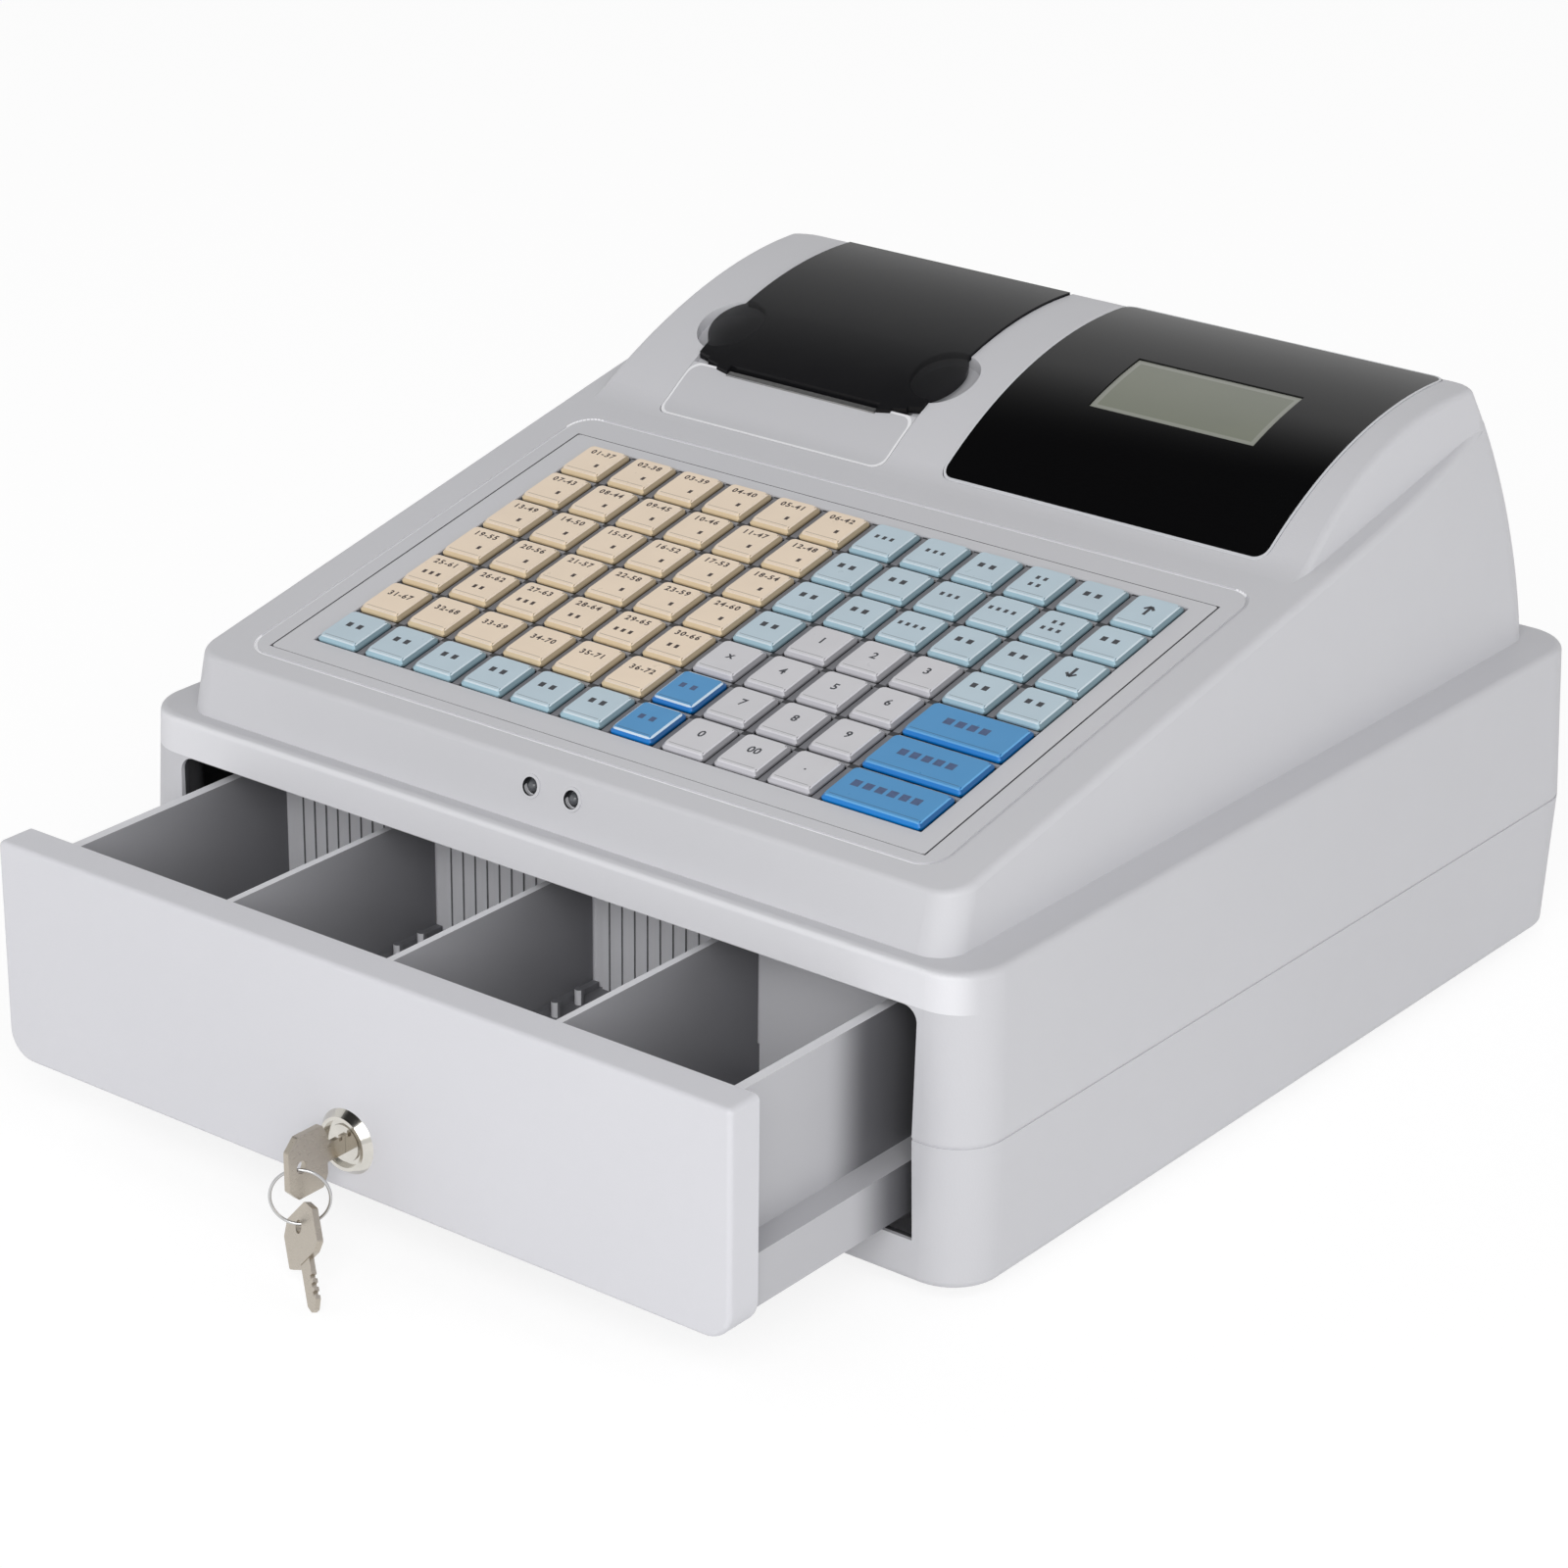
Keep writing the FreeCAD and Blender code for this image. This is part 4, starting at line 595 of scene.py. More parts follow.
def outline_distance(tree, x, y, edges, corner=0.0):
    """Distance outside a round-cornered rectangle, negative inside it."""
    half_x = (edges["right"] - edges["left"]) / 2 - corner
    half_y = (edges["back"] - edges["front"]) / 2 - corner
    off_x = math_node(tree, "SUBTRACT", x, (edges["left"] + edges["right"]) / 2)
    off_y = math_node(tree, "SUBTRACT", y, (edges["front"] + edges["back"]) / 2)
    out_x = math_node(tree, "SUBTRACT", math_node(tree, "ABSOLUTE", off_x), half_x)
    out_y = math_node(tree, "SUBTRACT", math_node(tree, "ABSOLUTE", off_y), half_y)
    farthest = math_node(tree, "MAXIMUM", out_x, out_y)
    if corner > 0:
        beyond_x = math_node(tree, "MAXIMUM", out_x, 0.0)
        beyond_y = math_node(tree, "MAXIMUM", out_y, 0.0)
        square = math_node(tree, "ADD", math_node(tree, "MULTIPLY", beyond_x, beyond_x),
                           math_node(tree, "MULTIPLY", beyond_y, beyond_y))
        farthest = math_node(tree, "MAXIMUM", math_node(tree, "SQRT", square), farthest)
    return math_node(tree, "SUBTRACT", farthest, corner)


def both(tree, first, second):
    return math_node(tree, "MULTIPLY", first, second)


def between(tree, value, low, high):
    return both(tree, math_node(tree, "GREATER_THAN", value, low),
                math_node(tree, "LESS_THAN", value, high))


def lay_over(material, mask, colour):
    """Lay a colour, plain or from a socket, over the present base colour."""
    tree = material.node_tree
    shader = tree.nodes["Principled BSDF"]
    below = shader.inputs["Base Color"].links[0].from_socket
    mix = tree.nodes.new("ShaderNodeMix")
    mix.data_type = "RGBA"
    tree.links.new(mask, mix.inputs["Factor"])
    tree.links.new(below, mix.inputs["A"])
    if isinstance(colour, tuple):
        mix.inputs["B"].default_value = colour
    else:
        tree.links.new(colour, mix.inputs["B"])
    tree.links.new(mix.outputs["Result"], shader.inputs["Base Color"])


def line_the_housing():
    tree = housing_plastic.node_tree
    x, y, z = deck_coordinates(tree)
    near_deck = between(tree, z, deck_low, deck_high)
    ring = outline_distance(tree, x, y, groove_edges, groove_corner)
    groove_highlight = both(tree, between(tree, ring, -groove_width, 0.0), near_deck)
    not_right = math_node(tree, "LESS_THAN", x, groove_edges["right"] - groove_open_end)
    # Painted highlight: the groove is laid over in near-white and left out near the right side.
    lay_over(housing_plastic, both(tree, groove_highlight, not_right), linear(250, 250, 252))
    seat = outline_distance(tree, x, y, seat_edges)
    seam = both(tree, between(tree, seat, -seam_width, seam_width), near_deck)
    lay_over(housing_plastic, seam, linear(70, 70, 74))


def line_the_panel(material):
    tree = material.node_tree
    x, y, z = object_place(tree)
    side = math_node(tree, "ABSOLUTE", x)
    seam = math_node(tree, "GREATER_THAN", side, panel_half - seam_width)
    lay_over(material, seam, linear(70, 70, 74))


def line_the_printer_panel():
    """Painted highlight: a pale rim round the printer panel, whose place is read from the node
    itself.
    """
    corners = [Vector(corner) for corner in nodes["printer_front_panel"].bound_box]
    edges = {"left": min(c.x for c in corners), "right": max(c.x for c in corners),
             "front": min(c.y for c in corners), "back": max(c.y for c in corners)}
    tree = panel_plastic.node_tree
    x, y, z = object_place(tree)
    distance = outline_distance(tree, x, y, edges, printer_panel_corner)
    on_highlit_rim = between(tree, distance, -printer_rim_width, seam_width)
    # Painted highlight on the upward faces of the rim.
    lay_over(panel_plastic, both(tree, on_highlit_rim, facing(tree, "Z")), linear(240, 240, 243))


def shade_the_tray():
    tree = tray_plastic.node_tree
    x, y, z = object_place(tree)
    right_facing = facing(tree, "X")
    up_facing = facing(tree, "Z")
    inside = math_node(tree, "LESS_THAN", x, tray_inside_right)
    depth = tree.nodes.new("ShaderNodeMapRange")
    tree.links.new(y, depth.inputs["Value"])
    depth.inputs["From Min"].default_value = bay_front
    depth.inputs["From Max"].default_value = bay_back
    # Painted shade: the walls inside that face right get darker towards the back of the bays.
    bay_wall_shade = ramp_between(tree, depth.outputs["Result"], linear(176, 176, 180),
                            linear(104, 104, 108))
    lay_over(tray_plastic, both(tree, right_facing, inside), bay_wall_shade)
    # Painted light: the faces inside that face the front are painted paler.
    lit_front_faces = math_node(tree, "LESS_THAN", facing_value(tree, "Y"), front_facing_limit)
    lay_over(tray_plastic, both(tree, lit_front_faces, inside), linear(238, 238, 242))
    # Painted shade: the floors of the bays are painted dark.
    low = math_node(tree, "LESS_THAN", z, low_floor)
    lay_over(tray_plastic, both(tree, both(tree, up_facing, low), inside), linear(112, 112, 116))
    # Painted light: the tops of the rims and dividers are painted paler.
    high = math_node(tree, "GREATER_THAN", z, rim_height)
    lay_over(tray_plastic, both(tree, up_facing, high), linear(222, 222, 226))
    # Painted shade: the outer right side of the tray gets darker towards its back, where it runs
    # into the cabinet.
    outer = math_node(tree, "GREATER_THAN", x, tray_inside_right)
    tray_side_shade = tree.nodes.new("ShaderNodeMapRange")
    tray_side_shade.interpolation_type = "SMOOTHSTEP"
    tree.links.new(y, tray_side_shade.inputs["Value"])
    tray_side_shade.inputs["From Min"].default_value = shade_starts
    tray_side_shade.inputs["From Max"].default_value = shade_full
    lay_over(tray_plastic, both(tree, both(tree, right_facing, outer), tray_side_shade.outputs["Result"]),
             linear(104, 104, 108))


def darken_inside(material):
    """Painted shade: a dark colour for what lies inside the cabinet shells."""
    tree = material.node_tree
    x, y, z = object_place(tree)
    skin = outline_distance(tree, x, y, cabinet_edges, cabinet_corner)
    within = math_node(tree, "LESS_THAN", skin, -shell_skin)
    high = between(tree, z, inside_low, inside_high)
    lay_over(material, both(tree, within, high), linear(58, 58, 60))


def lighten_above_opening(material):
    """Painted light: the band over the opening is painted a little paler, for the light it takes
    from the front.
    """
    tree = material.node_tree
    x, y, z = object_place(tree)
    front = fade_below(tree, facing_value(tree, "Y"), front_facing_limit, front_softness)
    band = math_node(tree, "GREATER_THAN", z, opening_top)
    lay_over(material, both(tree, front, band), linear(230, 230, 234))


line_the_housing()
line_the_panel(well_plastic)
line_the_printer_panel()
shade_the_tray()
darken_inside(cabinet_plastic)
lighten_above_opening(cabinet_plastic)
print("lines and shade ready")

# %% [markdown]
# ## Legends
# The labels carry small dark print. A legend is a very thin piece of mesh that lies on the flat
# top and rides with its key: numbers are text turned into mesh, and the marks of the function
# keys are plain bars and arrows. Every row of keys gets one piece that holds all its legends, and
# numbers are the only signs that can be read.

# %% Legend helpers
ink_height = 0.00004
number_size = 0.0034
digit_size = 0.0046
stroke_extra = 0.00012
curve_steps = 2
letter_width = 0.0013
letter_depth = 0.0019
letter_step_share = 2.2
sign_width = 0.0020
sign_depth = 0.0024
loose_step_share = 2.1
close_step_share = 1.6
wide_sign_width = 0.0030
wide_sign_depth = 0.0032
wide_step_share = 1.45
arrow_width = 0.0011
arrow_length = 0.0050
barb_out = 0.0009
barb_up = 0.0017
barb_width = 0.0010
barb_length = 0.0026
barb_angle = math.radians(42)
middle_column = 6.5
middle_row = 4.5


def on_key(column, row, x, y):
    """Place on the flat top of a key, as a matrix."""
    place = Vector(((column - middle_column) * key_pitch + x,
                    (middle_row - row) * key_pitch + y, key_top_height))
    slope = Matrix.Rotation(deck_angle, 4, "X")
    return Matrix.Translation(deck_origin) @ slope @ Matrix.Translation(place)


def add_number(work, text, size, matrix, spacing=1.0):
    """Text as thin mesh, added to a work mesh at a place."""
    curve = bpy.data.curves.new("number", "FONT")
    curve.body = text
    curve.size = size
    curve.space_character = spacing
    curve.align_x = "CENTER"
    curve.align_y = "CENTER"
    curve.extrude = ink_height / 2
    curve.offset = stroke_extra
    curve.resolution_u = curve_steps
    holder = bpy.data.objects.new("number", curve)
    mesh = bpy.data.meshes.new_from_object(holder)
    mesh.transform(matrix)
    work.from_mesh(mesh)
    bpy.data.objects.remove(holder)
    bpy.data.curves.remove(curve)
    bpy.data.meshes.remove(mesh)


def add_bar(work, matrix, x, y, width, depth, angle=0.0):
    """Flat bar with its middle at x and y."""
    place = Matrix.Translation(Vector((x, y, 0.0))) @ Matrix.Rotation(angle, 4, "Z")
    size = Matrix.Diagonal(Vector((width, depth, ink_height, 1.0)))
    bmesh.ops.create_cube(work, size=1.0, matrix=matrix @ place @ size)


def add_word(work, matrix, count, width, depth, step):
    """Row of short bars that stands in for a printed word."""
    for index in range(count):
        add_bar(work, matrix, (index - (count - 1) / 2) * step, 0.0, width, depth)


def add_letters(work, matrix, count):
    add_word(work, matrix, count, letter_width, letter_depth, letter_width * letter_step_share)


def add_signs(work, matrix, count):
    """Word of a function key, with its signs closer together when there are many."""
    step = sign_width * (loose_step_share if count < 3 else close_step_share)
    add_word(work, matrix, count, sign_width, sign_depth, step)


def add_arrow(work, matrix, sign):
    """Arrow along the column, upward for sign 1 and downward for -1."""
    add_bar(work, matrix, 0.0, 0.0, arrow_width, arrow_length)
    for side in (-1, 1):
        add_bar(work, matrix, side * barb_out, sign * barb_up, barb_width, barb_length,
                side * sign * barb_angle)


def legend_piece(body, work, material):
    mesh = bpy.data.meshes.new(body + "_print")
    work.normal_update()
    work.to_mesh(mesh)
    work.free()
    piece = bpy.data.objects.new(body + "_print", mesh)
    piece.data.materials.append(material)
    bpy.context.scene.collection.objects.link(piece)
    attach(piece, body)
    return piece


def ink_material(name, colour):
    material, tree, shader = new_material(name)
    grain = grain_in(tree, 4000.0, 700.0)
    base = ramp_between(tree, grain.outputs["Drift"], shaded(colour, 0.7), shaded(colour, 1.3))
    tree.links.new(base, shader.inputs["Base Color"])
    rough = value_between(tree, grain.outputs["Gloss"], 0.5, 0.7)
    tree.links.new(rough, shader.inputs["Roughness"])
    return material


brown_ink = ink_material("brown_ink", linear(72, 60, 56))
grey_ink = ink_material("grey_ink", linear(66, 68, 74))
blue_ink = ink_material("blue_ink", linear(76, 96, 134))
print("inks:", brown_ink.name, grey_ink.name, blue_ink.name)

# %% Legends
pieces = []
half_columns = 6
cream_keys = 36
number_spacing = 1.25
number_back = 0.0046
low_number_back = 0.0022
mark_place = (0.0030, -0.0026)
cream_word_place = (-0.0004, -0.0022)
sign_place = (-0.0005, 0.0010)
upper_word_place = (-0.0005, 0.0024)
lower_word_place = (-0.0005, -0.0018)
arrow_place = (0.0, 0.0006)
digit_place = (0.0, 0.0010)
blue_sign_place = (-0.0008, 0.0008)

for row in range(1, 7):
    work = bmesh.new()
    for column in range(1, half_columns + 1):
        number = (row - 1) * half_columns + column
        line = on_key(column, row, 0.0, low_number_back if row == 6 else number_back)
        text = f"{number:02d}-{number + cream_keys:02d}"
        add_number(work, text, number_size, line, number_spacing)
        if row < 5:
            add_letters(work, on_key(column, row, *mark_place), 1)
        if row == 5:
            add_letters(work, on_key(column, row, *cream_word_place), 2 + column % 2)
    body = "cream_keys_row_" + str(row)
    pieces.append(legend_piece(body, work, brown_ink))

pale_words = {1: (3, 3, 2, 2, 2), 2: (2, 2, 3, 4, 2), 3: (2, 2, 4, 2)}
second_lines = {(10, 1): 2, (11, 2): 3}
for row, counts in pale_words.items():
    work = bmesh.new()
    for index, count in enumerate(counts):
        column = half_columns + 1 + index
        lower = second_lines.get((column, row), 0)
        if count > 2 or lower:
            place = upper_word_place if lower else sign_place
            add_letters(work, on_key(column, row, *place), count)
        else:
            add_signs(work, on_key(column, row, *sign_place), count)
        if lower:
            add_letters(work, on_key(column, row, *lower_word_place), lower)
    if row == 1:
        add_arrow(work, on_key(12, row, *arrow_place), 1)
    if row == 3:
        add_signs(work, on_key(11, row, *sign_place), 2)
        add_arrow(work, on_key(12, row, *arrow_place), -1)
    if row == 2:
        add_signs(work, on_key(12, row, *sign_place), 2)
    pieces.append(legend_piece("pale_keys_row_" + str(row), work, grey_ink))

for row, columns in ((4, (7, 11, 12)), (7, (1, 2, 3, 4, 5, 6))):
    work = bmesh.new()
    for column in columns:
        add_signs(work, on_key(column, row, *sign_place), 2)
    pieces.append(legend_piece("pale_keys_row_" + str(row), work, grey_ink))

digit_places = {}
for index in range(9):
    digit_places["digit_key_" + str(index + 1)] = (str(index + 1), 8 + index % 3, 4 + index // 3)
digit_places["digit_key_0"] = ("0", 8, 7)
digit_places["double_zero_key"] = ("00", 9, 7)
digit_places["point_key"] = (".", 10, 7)
digit_places["multiply_key"] = ("x", 7, 5)
for body, (text, column, row) in digit_places.items():
    work = bmesh.new()
    add_number(work, text, digit_size, on_key(column, row, *digit_place))
    pieces.append(legend_piece(body, work, grey_ink))

blue_places = {"blue_key_back": (7, 6, 2), "blue_key_front": (7, 7, 2),
               "wide_key_back": (11.5, 5, 4), "wide_key_middle": (11.5, 6, 5),
               "wide_key_front": (11.5, 7, 6)}
for body, (column, row, count) in blue_places.items():
    work = bmesh.new()
    place = on_key(column, row, *blue_sign_place)
    if count > 2:
        step = wide_sign_width * wide_step_share
        add_word(work, place, count, wide_sign_width, wide_sign_depth, step)
    else:
        add_signs(work, place, count)
    pieces.append(legend_piece(body, work, blue_ink))
print("legend pieces:", len(pieces))

# %% [markdown]
# ## Web between the keys
# Each key stands in its own square hole, and the narrow web between the holes lies flush with
# the deck. The web is built of flat bars: one long bar behind, between and in front of the rows,
# and short bars between the columns. Its colour is painted shade: it lies in the shade of the
# keys, so it is painted darker than the panel, most of all between the columns, whose gaps face
# away from the light, and at the crossings, where keys have round corners.

# %% Web between the keys
web_top = -0.0004
web_thickness = 0.0008
hole_gap = 0.0005
well_margin = 0.0008
key_columns = 12
key_rows = 7
first_wide_row = 5
wide_left = 0.085
wide_back = -0.005
deck_matrix = Matrix.Translation(deck_origin) @ Matrix.Rotation(deck_angle, 4, "X")


def add_web_bar(work, left, right, front, back):
    middle = Vector(((left + right) / 2, (front + back) / 2, web_top - web_thickness / 2))
    size = Matrix.Diagonal(Vector((right - left, back - front, web_thickness, 1.0)))
    bmesh.ops.create_cube(work, size=1.0, matrix=deck_matrix @ Matrix.Translation(middle) @ size)


def hole_edges(index, first, step, half, count):
    """Far edge of one hole and near edge of the next one, or the edge of the well."""
    here = first + (index - 1) * step
    low = here + half + hole_gap if index > 0 else here + step - half - well_margin
    high = here + step - half - hole_gap if index < count else here + half + well_margin
    return low, high


def web_material():
    """Plastic painted with shade, told apart by where a place lies on the grid of the keys."""
    material, tree, shader = new_material("web_plastic")
    grain = grain_in(tree, 1500.0, 60.0)
    # Painted shade: the web is darker than the panel.
    paint = ramp_between(tree, grain.outputs["Drift"], linear(150, 150, 154),
                         linear(158, 158, 162))
    tree.links.new(paint, shader.inputs["Base Color"])
    rough = value_between(tree, grain.outputs["Gloss"], 0.4, 0.5)
    tree.links.new(rough, shader.inputs["Roughness"])
    add_bump(tree, shader, grain.outputs["Height"], 0.00002)
    x, y, z = deck_coordinates(tree)
    cell_x = from_cell_middle(tree, x, key_pitch, key_pitch / 2)
    cell_y = from_cell_middle(tree, y, key_pitch, key_pitch / 2)
    column_gap = math_node(tree, "GREATER_THAN", math_node(tree, "ABSOLUTE", cell_x), key_half_x)
    row_gap = math_node(tree, "GREATER_THAN", math_node(tree, "ABSOLUTE", cell_y), key_half_y)
    # Painted shade: darker still between the columns.
    lay_over(material, column_gap, linear(126, 126, 131))
    wide_keys = both(tree, math_node(tree, "GREATER_THAN", x, wide_left),
                     math_node(tree, "LESS_THAN", y, wide_back))
    single_keys = math_node(tree, "SUBTRACT", 1.0, wide_keys)
    # Painted shade: darkest at the crossings.
    crossing_shade = both(tree, both(tree, column_gap, row_gap), single_keys)
    lay_over(material, crossing_shade, linear(58, 58, 62))
    return material


def make_web():
    work = bmesh.new()
    left = (1 - middle_column) * key_pitch - key_half_x - well_margin
    right = (key_columns - middle_column) * key_pitch + key_half_x + well_margin
    first_row = (middle_row - key_rows) * key_pitch
    first_column = (1 - middle_column) * key_pitch
    for index in range(key_rows + 1):
        front, back = hole_edges(index, first_row, key_pitch, key_half_y, key_rows)
        add_web_bar(work, left, right, front, back)
    for row in range(1, key_rows + 1):
        middle = (middle_row - row) * key_pitch
        reach = key_half_y + hole_gap
        for index in range(key_columns + 1):
            if row >= first_wide_row and index == key_columns - 1:
                continue
            low, high = hole_edges(index, first_column, key_pitch, key_half_x, key_columns)
            add_web_bar(work, low, high, middle - reach, middle + reach)
    mesh = bpy.data.meshes.new("keyboard_web")
    work.normal_update()
    work.to_mesh(mesh)
    work.free()
    web = bpy.data.objects.new("keyboard_web", mesh)
    web.data.materials.append(web_material())
    bpy.context.scene.collection.objects.link(web)
    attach(web, "cabinet")
    return web


web = make_web()
print("web faces:", len(web.data.polygons))

# %% [markdown]
# ## Window, screen and smoked cover
# The window is a polished black plate with a clear edge, which is painted pale as a highlight, and
# the screen behind its opening is a grey-green reflective cell with a lighter border where the
# glass is glued. The printer cover is smoked plastic: nearly black where the printer lies under
# it, and see-through at the finger tabs, so its alpha depends on how far a place is from the
# middle of the cover.

# %% Window and screen materials
window_edges = {"left": 0.0015, "right": 0.1262, "front": 0.0861, "back": 0.1931}
screen_edges = {"left": 0.0335, "right": 0.0970, "front": 0.1241, "back": 0.1535}
clear_edge_width = 0.0008
window_corner = 0.005
screen_border_width = 0.0022


def border_mask(tree, edges, width, corner=0.0):
    """One within a width of the edges of a round-cornered rectangle in plan, else zero."""
    x, y, z = object_place(tree)
    distance = outline_distance(tree, x, y, edges, corner)
    return math_node(tree, "GREATER_THAN", distance, -width)


def window_material():
    material, tree, shader = new_material("window_black")
    # Painted highlight: the clear edge of the plate is painted pale.
    mask = border_mask(tree, window_edges, clear_edge_width, window_corner)
    base = ramp_between(tree, mask, linear(10, 10, 11), linear(212, 213, 217))
    tree.links.new(base, shader.inputs["Base Color"])
    grain = grain_in(tree, 900.0, 30.0)
    rough = value_between(tree, grain.outputs["Gloss"], 0.03, 0.07)
    tree.links.new(rough, shader.inputs["Roughness"])
    add_bump(tree, shader, grain.outputs["Drift"], 0.00002)
    shader.inputs["Specular IOR Level"].default_value = 0.29
    return material


def screen_material():
    material, tree, shader = new_material("screen_cell")
    border = border_mask(tree, screen_edges, screen_border_width)
    grain = grain_in(tree, 3000.0, 22.0)
    cell = ramp_between(tree, grain.outputs["Drift"], linear(122, 126, 116), linear(134, 137, 122))
    mix = tree.nodes.new("ShaderNodeMix")
    mix.data_type = "RGBA"
    tree.links.new(border, mix.inputs["Factor"])
    tree.links.new(cell, mix.inputs["A"])
    mix.inputs["B"].default_value = linear(150, 152, 143)
    tree.links.new(mix.outputs["Result"], shader.inputs["Base Color"])
    rough = value_between(tree, grain.outputs["Gloss"], 0.18, 0.26)
    tree.links.new(rough, shader.inputs["Roughness"])
    return material


window_black = window_material()
screen_cell = screen_material()
print("window and screen ready")

# %% Smoked cover material
cup_centres = ((-0.112, 0.1215), (-0.022, 0.1215))
cup_clear_radius = 0.0118
cup_edge = 0.0004
cover_alpha = 0.97
tab_alpha = 0.66


def smoked_material():
    material, tree, shader = new_material("smoked_cover")
    x, y, z = object_place(tree)
    nearest = None
    for centre_x, centre_y in cup_centres:
        off_x = math_node(tree, "SUBTRACT", x, centre_x)
        off_y = math_node(tree, "SUBTRACT", y, centre_y)
        square = math_node(tree, "ADD", math_node(tree, "MULTIPLY", off_x, off_x),
                           math_node(tree, "MULTIPLY", off_y, off_y))
        far = math_node(tree, "SQRT", square)
        nearest = far if nearest is None else math_node(tree, "MINIMUM", nearest, far)
    over_cup = fade_below(tree, nearest, cup_clear_radius, cup_edge)
    alpha = value_between(tree, over_cup, cover_alpha, tab_alpha)
    tree.links.new(alpha, shader.inputs["Alpha"])
    grain = grain_in(tree, 1200.0, 25.0)
    base = ramp_between(tree, grain.outputs["Drift"], linear(22, 22, 24), linear(27, 27, 29))
    tree.links.new(base, shader.inputs["Base Color"])
    rough = value_between(tree, grain.outputs["Gloss"], 0.12, 0.22)
    tree.links.new(rough, shader.inputs["Roughness"])
    add_bump(tree, shader, grain.outputs["Drift"], 0.00003)
    shader.inputs["Specular IOR Level"].default_value = 0.16
    return material


smoked_cover = smoked_material()
print("smoked cover ready")

# %% [markdown]
# ## Metals, paper and boards
# The lock is nickel plated and bright, the keys are stamped and duller with fine scratches, and
# the core of the power supply is plain rolled steel. Stretched noise makes the direction of
# rolling or brushing. The paper is slightly fibrous, and the boards carry green solder mask.

# %% Metal materials


def stretched_noise(tree, stretch, scale):
    place = tree.nodes.new("ShaderNodeTexCoord").outputs["Object"]
    mapping = tree.nodes.new("ShaderNodeMapping")
    mapping.inputs["Scale"].default_value = stretch
    tree.links.new(place, mapping.inputs["Vector"])
    return noise_node(tree, mapping.outputs["Vector"], scale=scale, detail=4.0)


gloss_spread = 0.3


def metal(name, colour, roughness, stretch, scale, depth, spread=0.08):
    """Metal with a directed grain in colour, gloss and height."""
    material, tree, shader = new_material(name)
    grain = stretched_noise(tree, stretch, scale)
    base = ramp_between(tree, grain, shaded(colour, 1 - spread), shaded(colour, 1 + spread))
    tree.links.new(base, shader.inputs["Base Color"])
    rough = value_between(tree, grain, roughness * (1 - gloss_spread),
                          roughness * (1 + gloss_spread))
    tree.links.new(rough, shader.inputs["Roughness"])
    shader.inputs["Metallic"].default_value = 1.0
    add_bump(tree, shader, grain, depth)
    return material


bright_nickel = metal("bright_nickel", linear(214, 211, 204), 0.14, (1, 1, 1), 300.0, 0.000004)
stamped_nickel = metal("stamped_nickel", linear(186, 178, 166), 0.3, (1, 1, 4), 700.0, 0.00002)
spring_steel = metal("spring_steel", linear(200, 200, 200), 0.2, (1, 1, 1), 900.0, 0.000004)
rolled_steel = metal("rolled_steel", linear(150, 150, 152), 0.42, (8, 1, 1), 220.0, 0.00002)
zinc_steel = metal("zinc_steel", linear(176, 174, 166), 0.34, (1, 1, 1), 1200.0, 0.00001)
print("metals ready")

# %% Paper, board and lamp materials


def paper_material():
    material, tree, shader = new_material("receipt_paper")
    fibre = stretched_noise(tree, (1, 3, 3), 1400.0)
    base = ramp_between(tree, fibre, linear(232, 232, 228), linear(244, 244, 241))
    tree.links.new(base, shader.inputs["Base Color"])
    rough = value_between(tree, fibre, 0.7, 0.85)
    tree.links.new(rough, shader.inputs["Roughness"])
    add_bump(tree, shader, fibre, 0.00002)
    return material


def board_material():
    material, tree, shader = new_material("solder_mask")
    tracks = tree.nodes.new("ShaderNodeTexVoronoi")
    tracks.distance = "CHEBYCHEV"
    tracks.inputs["Scale"].default_value = 180.0
    place = tree.nodes.new("ShaderNodeTexCoord").outputs["Object"]
    tree.links.new(place, tracks.inputs["Vector"])
    base = ramp_between(tree, tracks.outputs["Distance"], linear(16, 82, 48), linear(38, 120, 74))
    tree.links.new(base, shader.inputs["Base Color"])
    rough = value_between(tree, tracks.outputs["Distance"], 0.25, 0.45)
    tree.links.new(rough, shader.inputs["Roughness"])
    return material


receipt_paper = paper_material()
solder_mask = board_material()
lamp_middle = 0.0016
lamp_offset = 0.00805
lamp_height = 0.1177
lamp_ring_inner = 0.00282
lamp_dome_outer = 0.00192


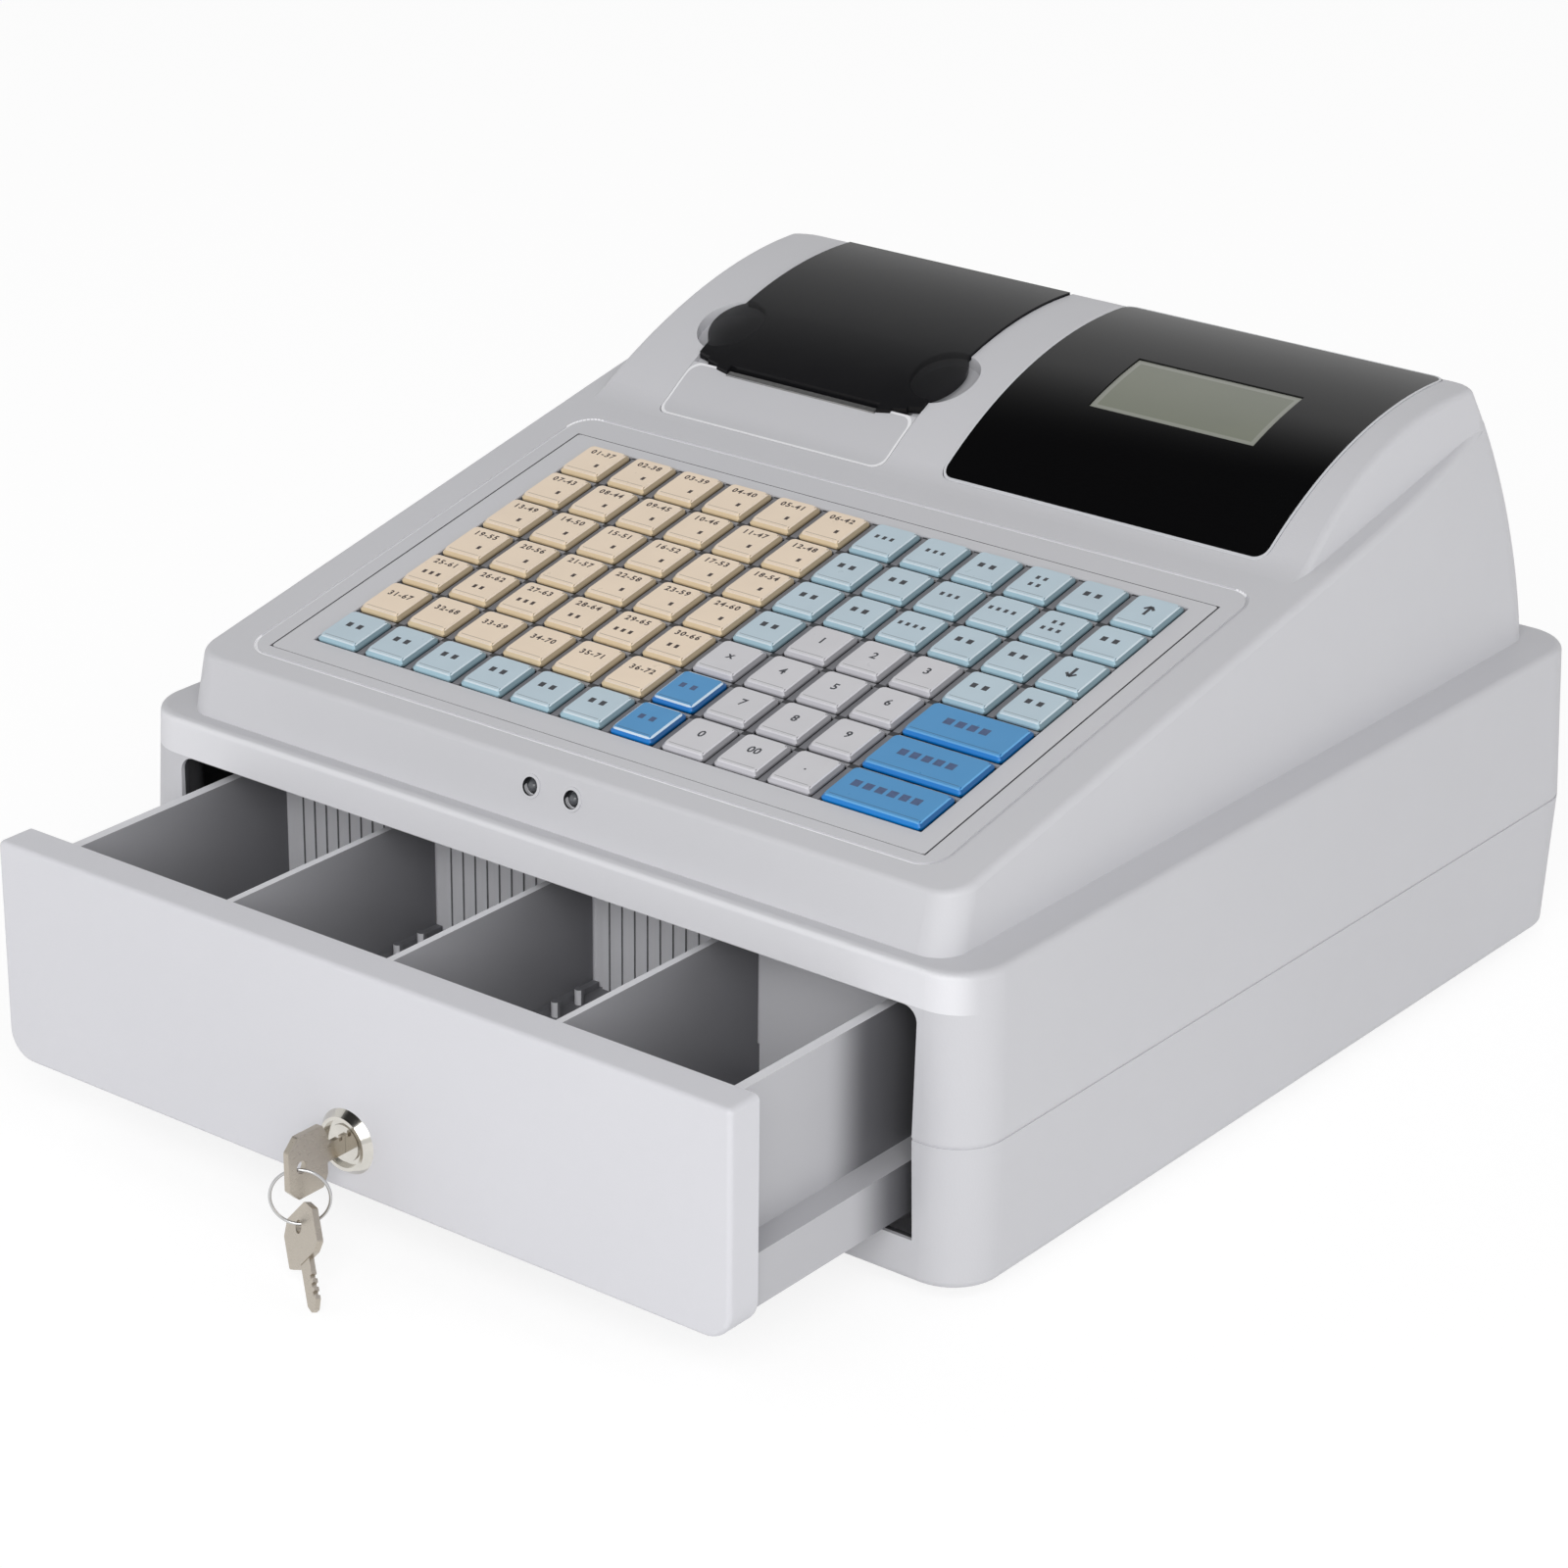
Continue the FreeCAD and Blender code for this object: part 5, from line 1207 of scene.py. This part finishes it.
def lamp_material():
    """Pale ring, dark bore and a clear dome, told apart by the distance from the axis."""
    material, tree, shader = new_material("lamp_lens")
    x, y, z = object_place(tree)
    from_middle = math_node(tree, "SUBTRACT", x, lamp_middle)
    off_x = math_node(tree, "SUBTRACT", math_node(tree, "ABSOLUTE", from_middle), lamp_offset)
    off_z = math_node(tree, "SUBTRACT", z, lamp_height)
    square = math_node(tree, "ADD", math_node(tree, "MULTIPLY", off_x, off_x),
                       math_node(tree, "MULTIPLY", off_z, off_z))
    far = math_node(tree, "SQRT", square)
    grain = grain_in(tree, 3000.0, 500.0)
    paint = ramp_between(tree, grain.outputs["Drift"], linear(40, 41, 44), linear(50, 51, 54))
    paint = colour_over(tree, paint, math_node(tree, "GREATER_THAN", far, lamp_ring_inner),
                        linear(206, 206, 210))
    paint = colour_over(tree, paint, math_node(tree, "LESS_THAN", far, lamp_dome_outer),
                        linear(92, 94, 98))
    tree.links.new(paint, shader.inputs["Base Color"])
    rough = value_between(tree, grain.outputs["Gloss"], 0.1, 0.16)
    tree.links.new(rough, shader.inputs["Roughness"])
    add_bump(tree, shader, grain.outputs["Height"], 0.00001)
    return material


lamp_lens = lamp_material()
print("paper, boards and lamps ready")

# %% Dress the nodes
finishes = {
    "base_lower_shell": cabinet_plastic, "base_upper_shell": cabinet_plastic,
    "rubber_feet": foot_rubber, "case_screws": zinc_steel,
    "top_housing": housing_plastic, "indicator_lamps": lamp_lens,
    "display_window": window_black, "screen_module": screen_cell,
    "printer_cover": smoked_cover, "printer_front_panel": panel_plastic,
    "tear_bar": spring_steel, "printer_frame": black_plastic,
    "platen_roller": foot_rubber, "paper_roll": receipt_paper,
    "main_board": solder_mask, "power_supply": rolled_steel,
    "power_inlet": black_plastic, "keyboard_panel": well_plastic,
    "keyboard_board": solder_mask, "drawer_front": front_plastic,
    "drawer_tray": tray_plastic, "divider_left": tray_plastic,
    "divider_middle": tray_plastic, "divider_right": tray_plastic,
    "lock_body": bright_nickel, "lock_plug": bright_nickel,
    "lock_cam": zinc_steel, "drawer_key": stamped_nickel,
    "spare_key": stamped_nickel, "key_ring": spring_steel,
    "release_latch": zinc_steel,
}


def key_finish(name):
    if name.startswith("cream"):
        return cream_key
    if name.startswith("pale"):
        return pale_key
    if name.startswith("wide"):
        return wide_blue_key
    if name.startswith("blue"):
        return blue_key
    return grey_key


def dress(node, material):
    node.data.materials.clear()
    node.data.materials.append(material)


for name, node in nodes.items():
    dress(node, finishes.get(name) or key_finish(name))
print("dressed nodes:", len(nodes))
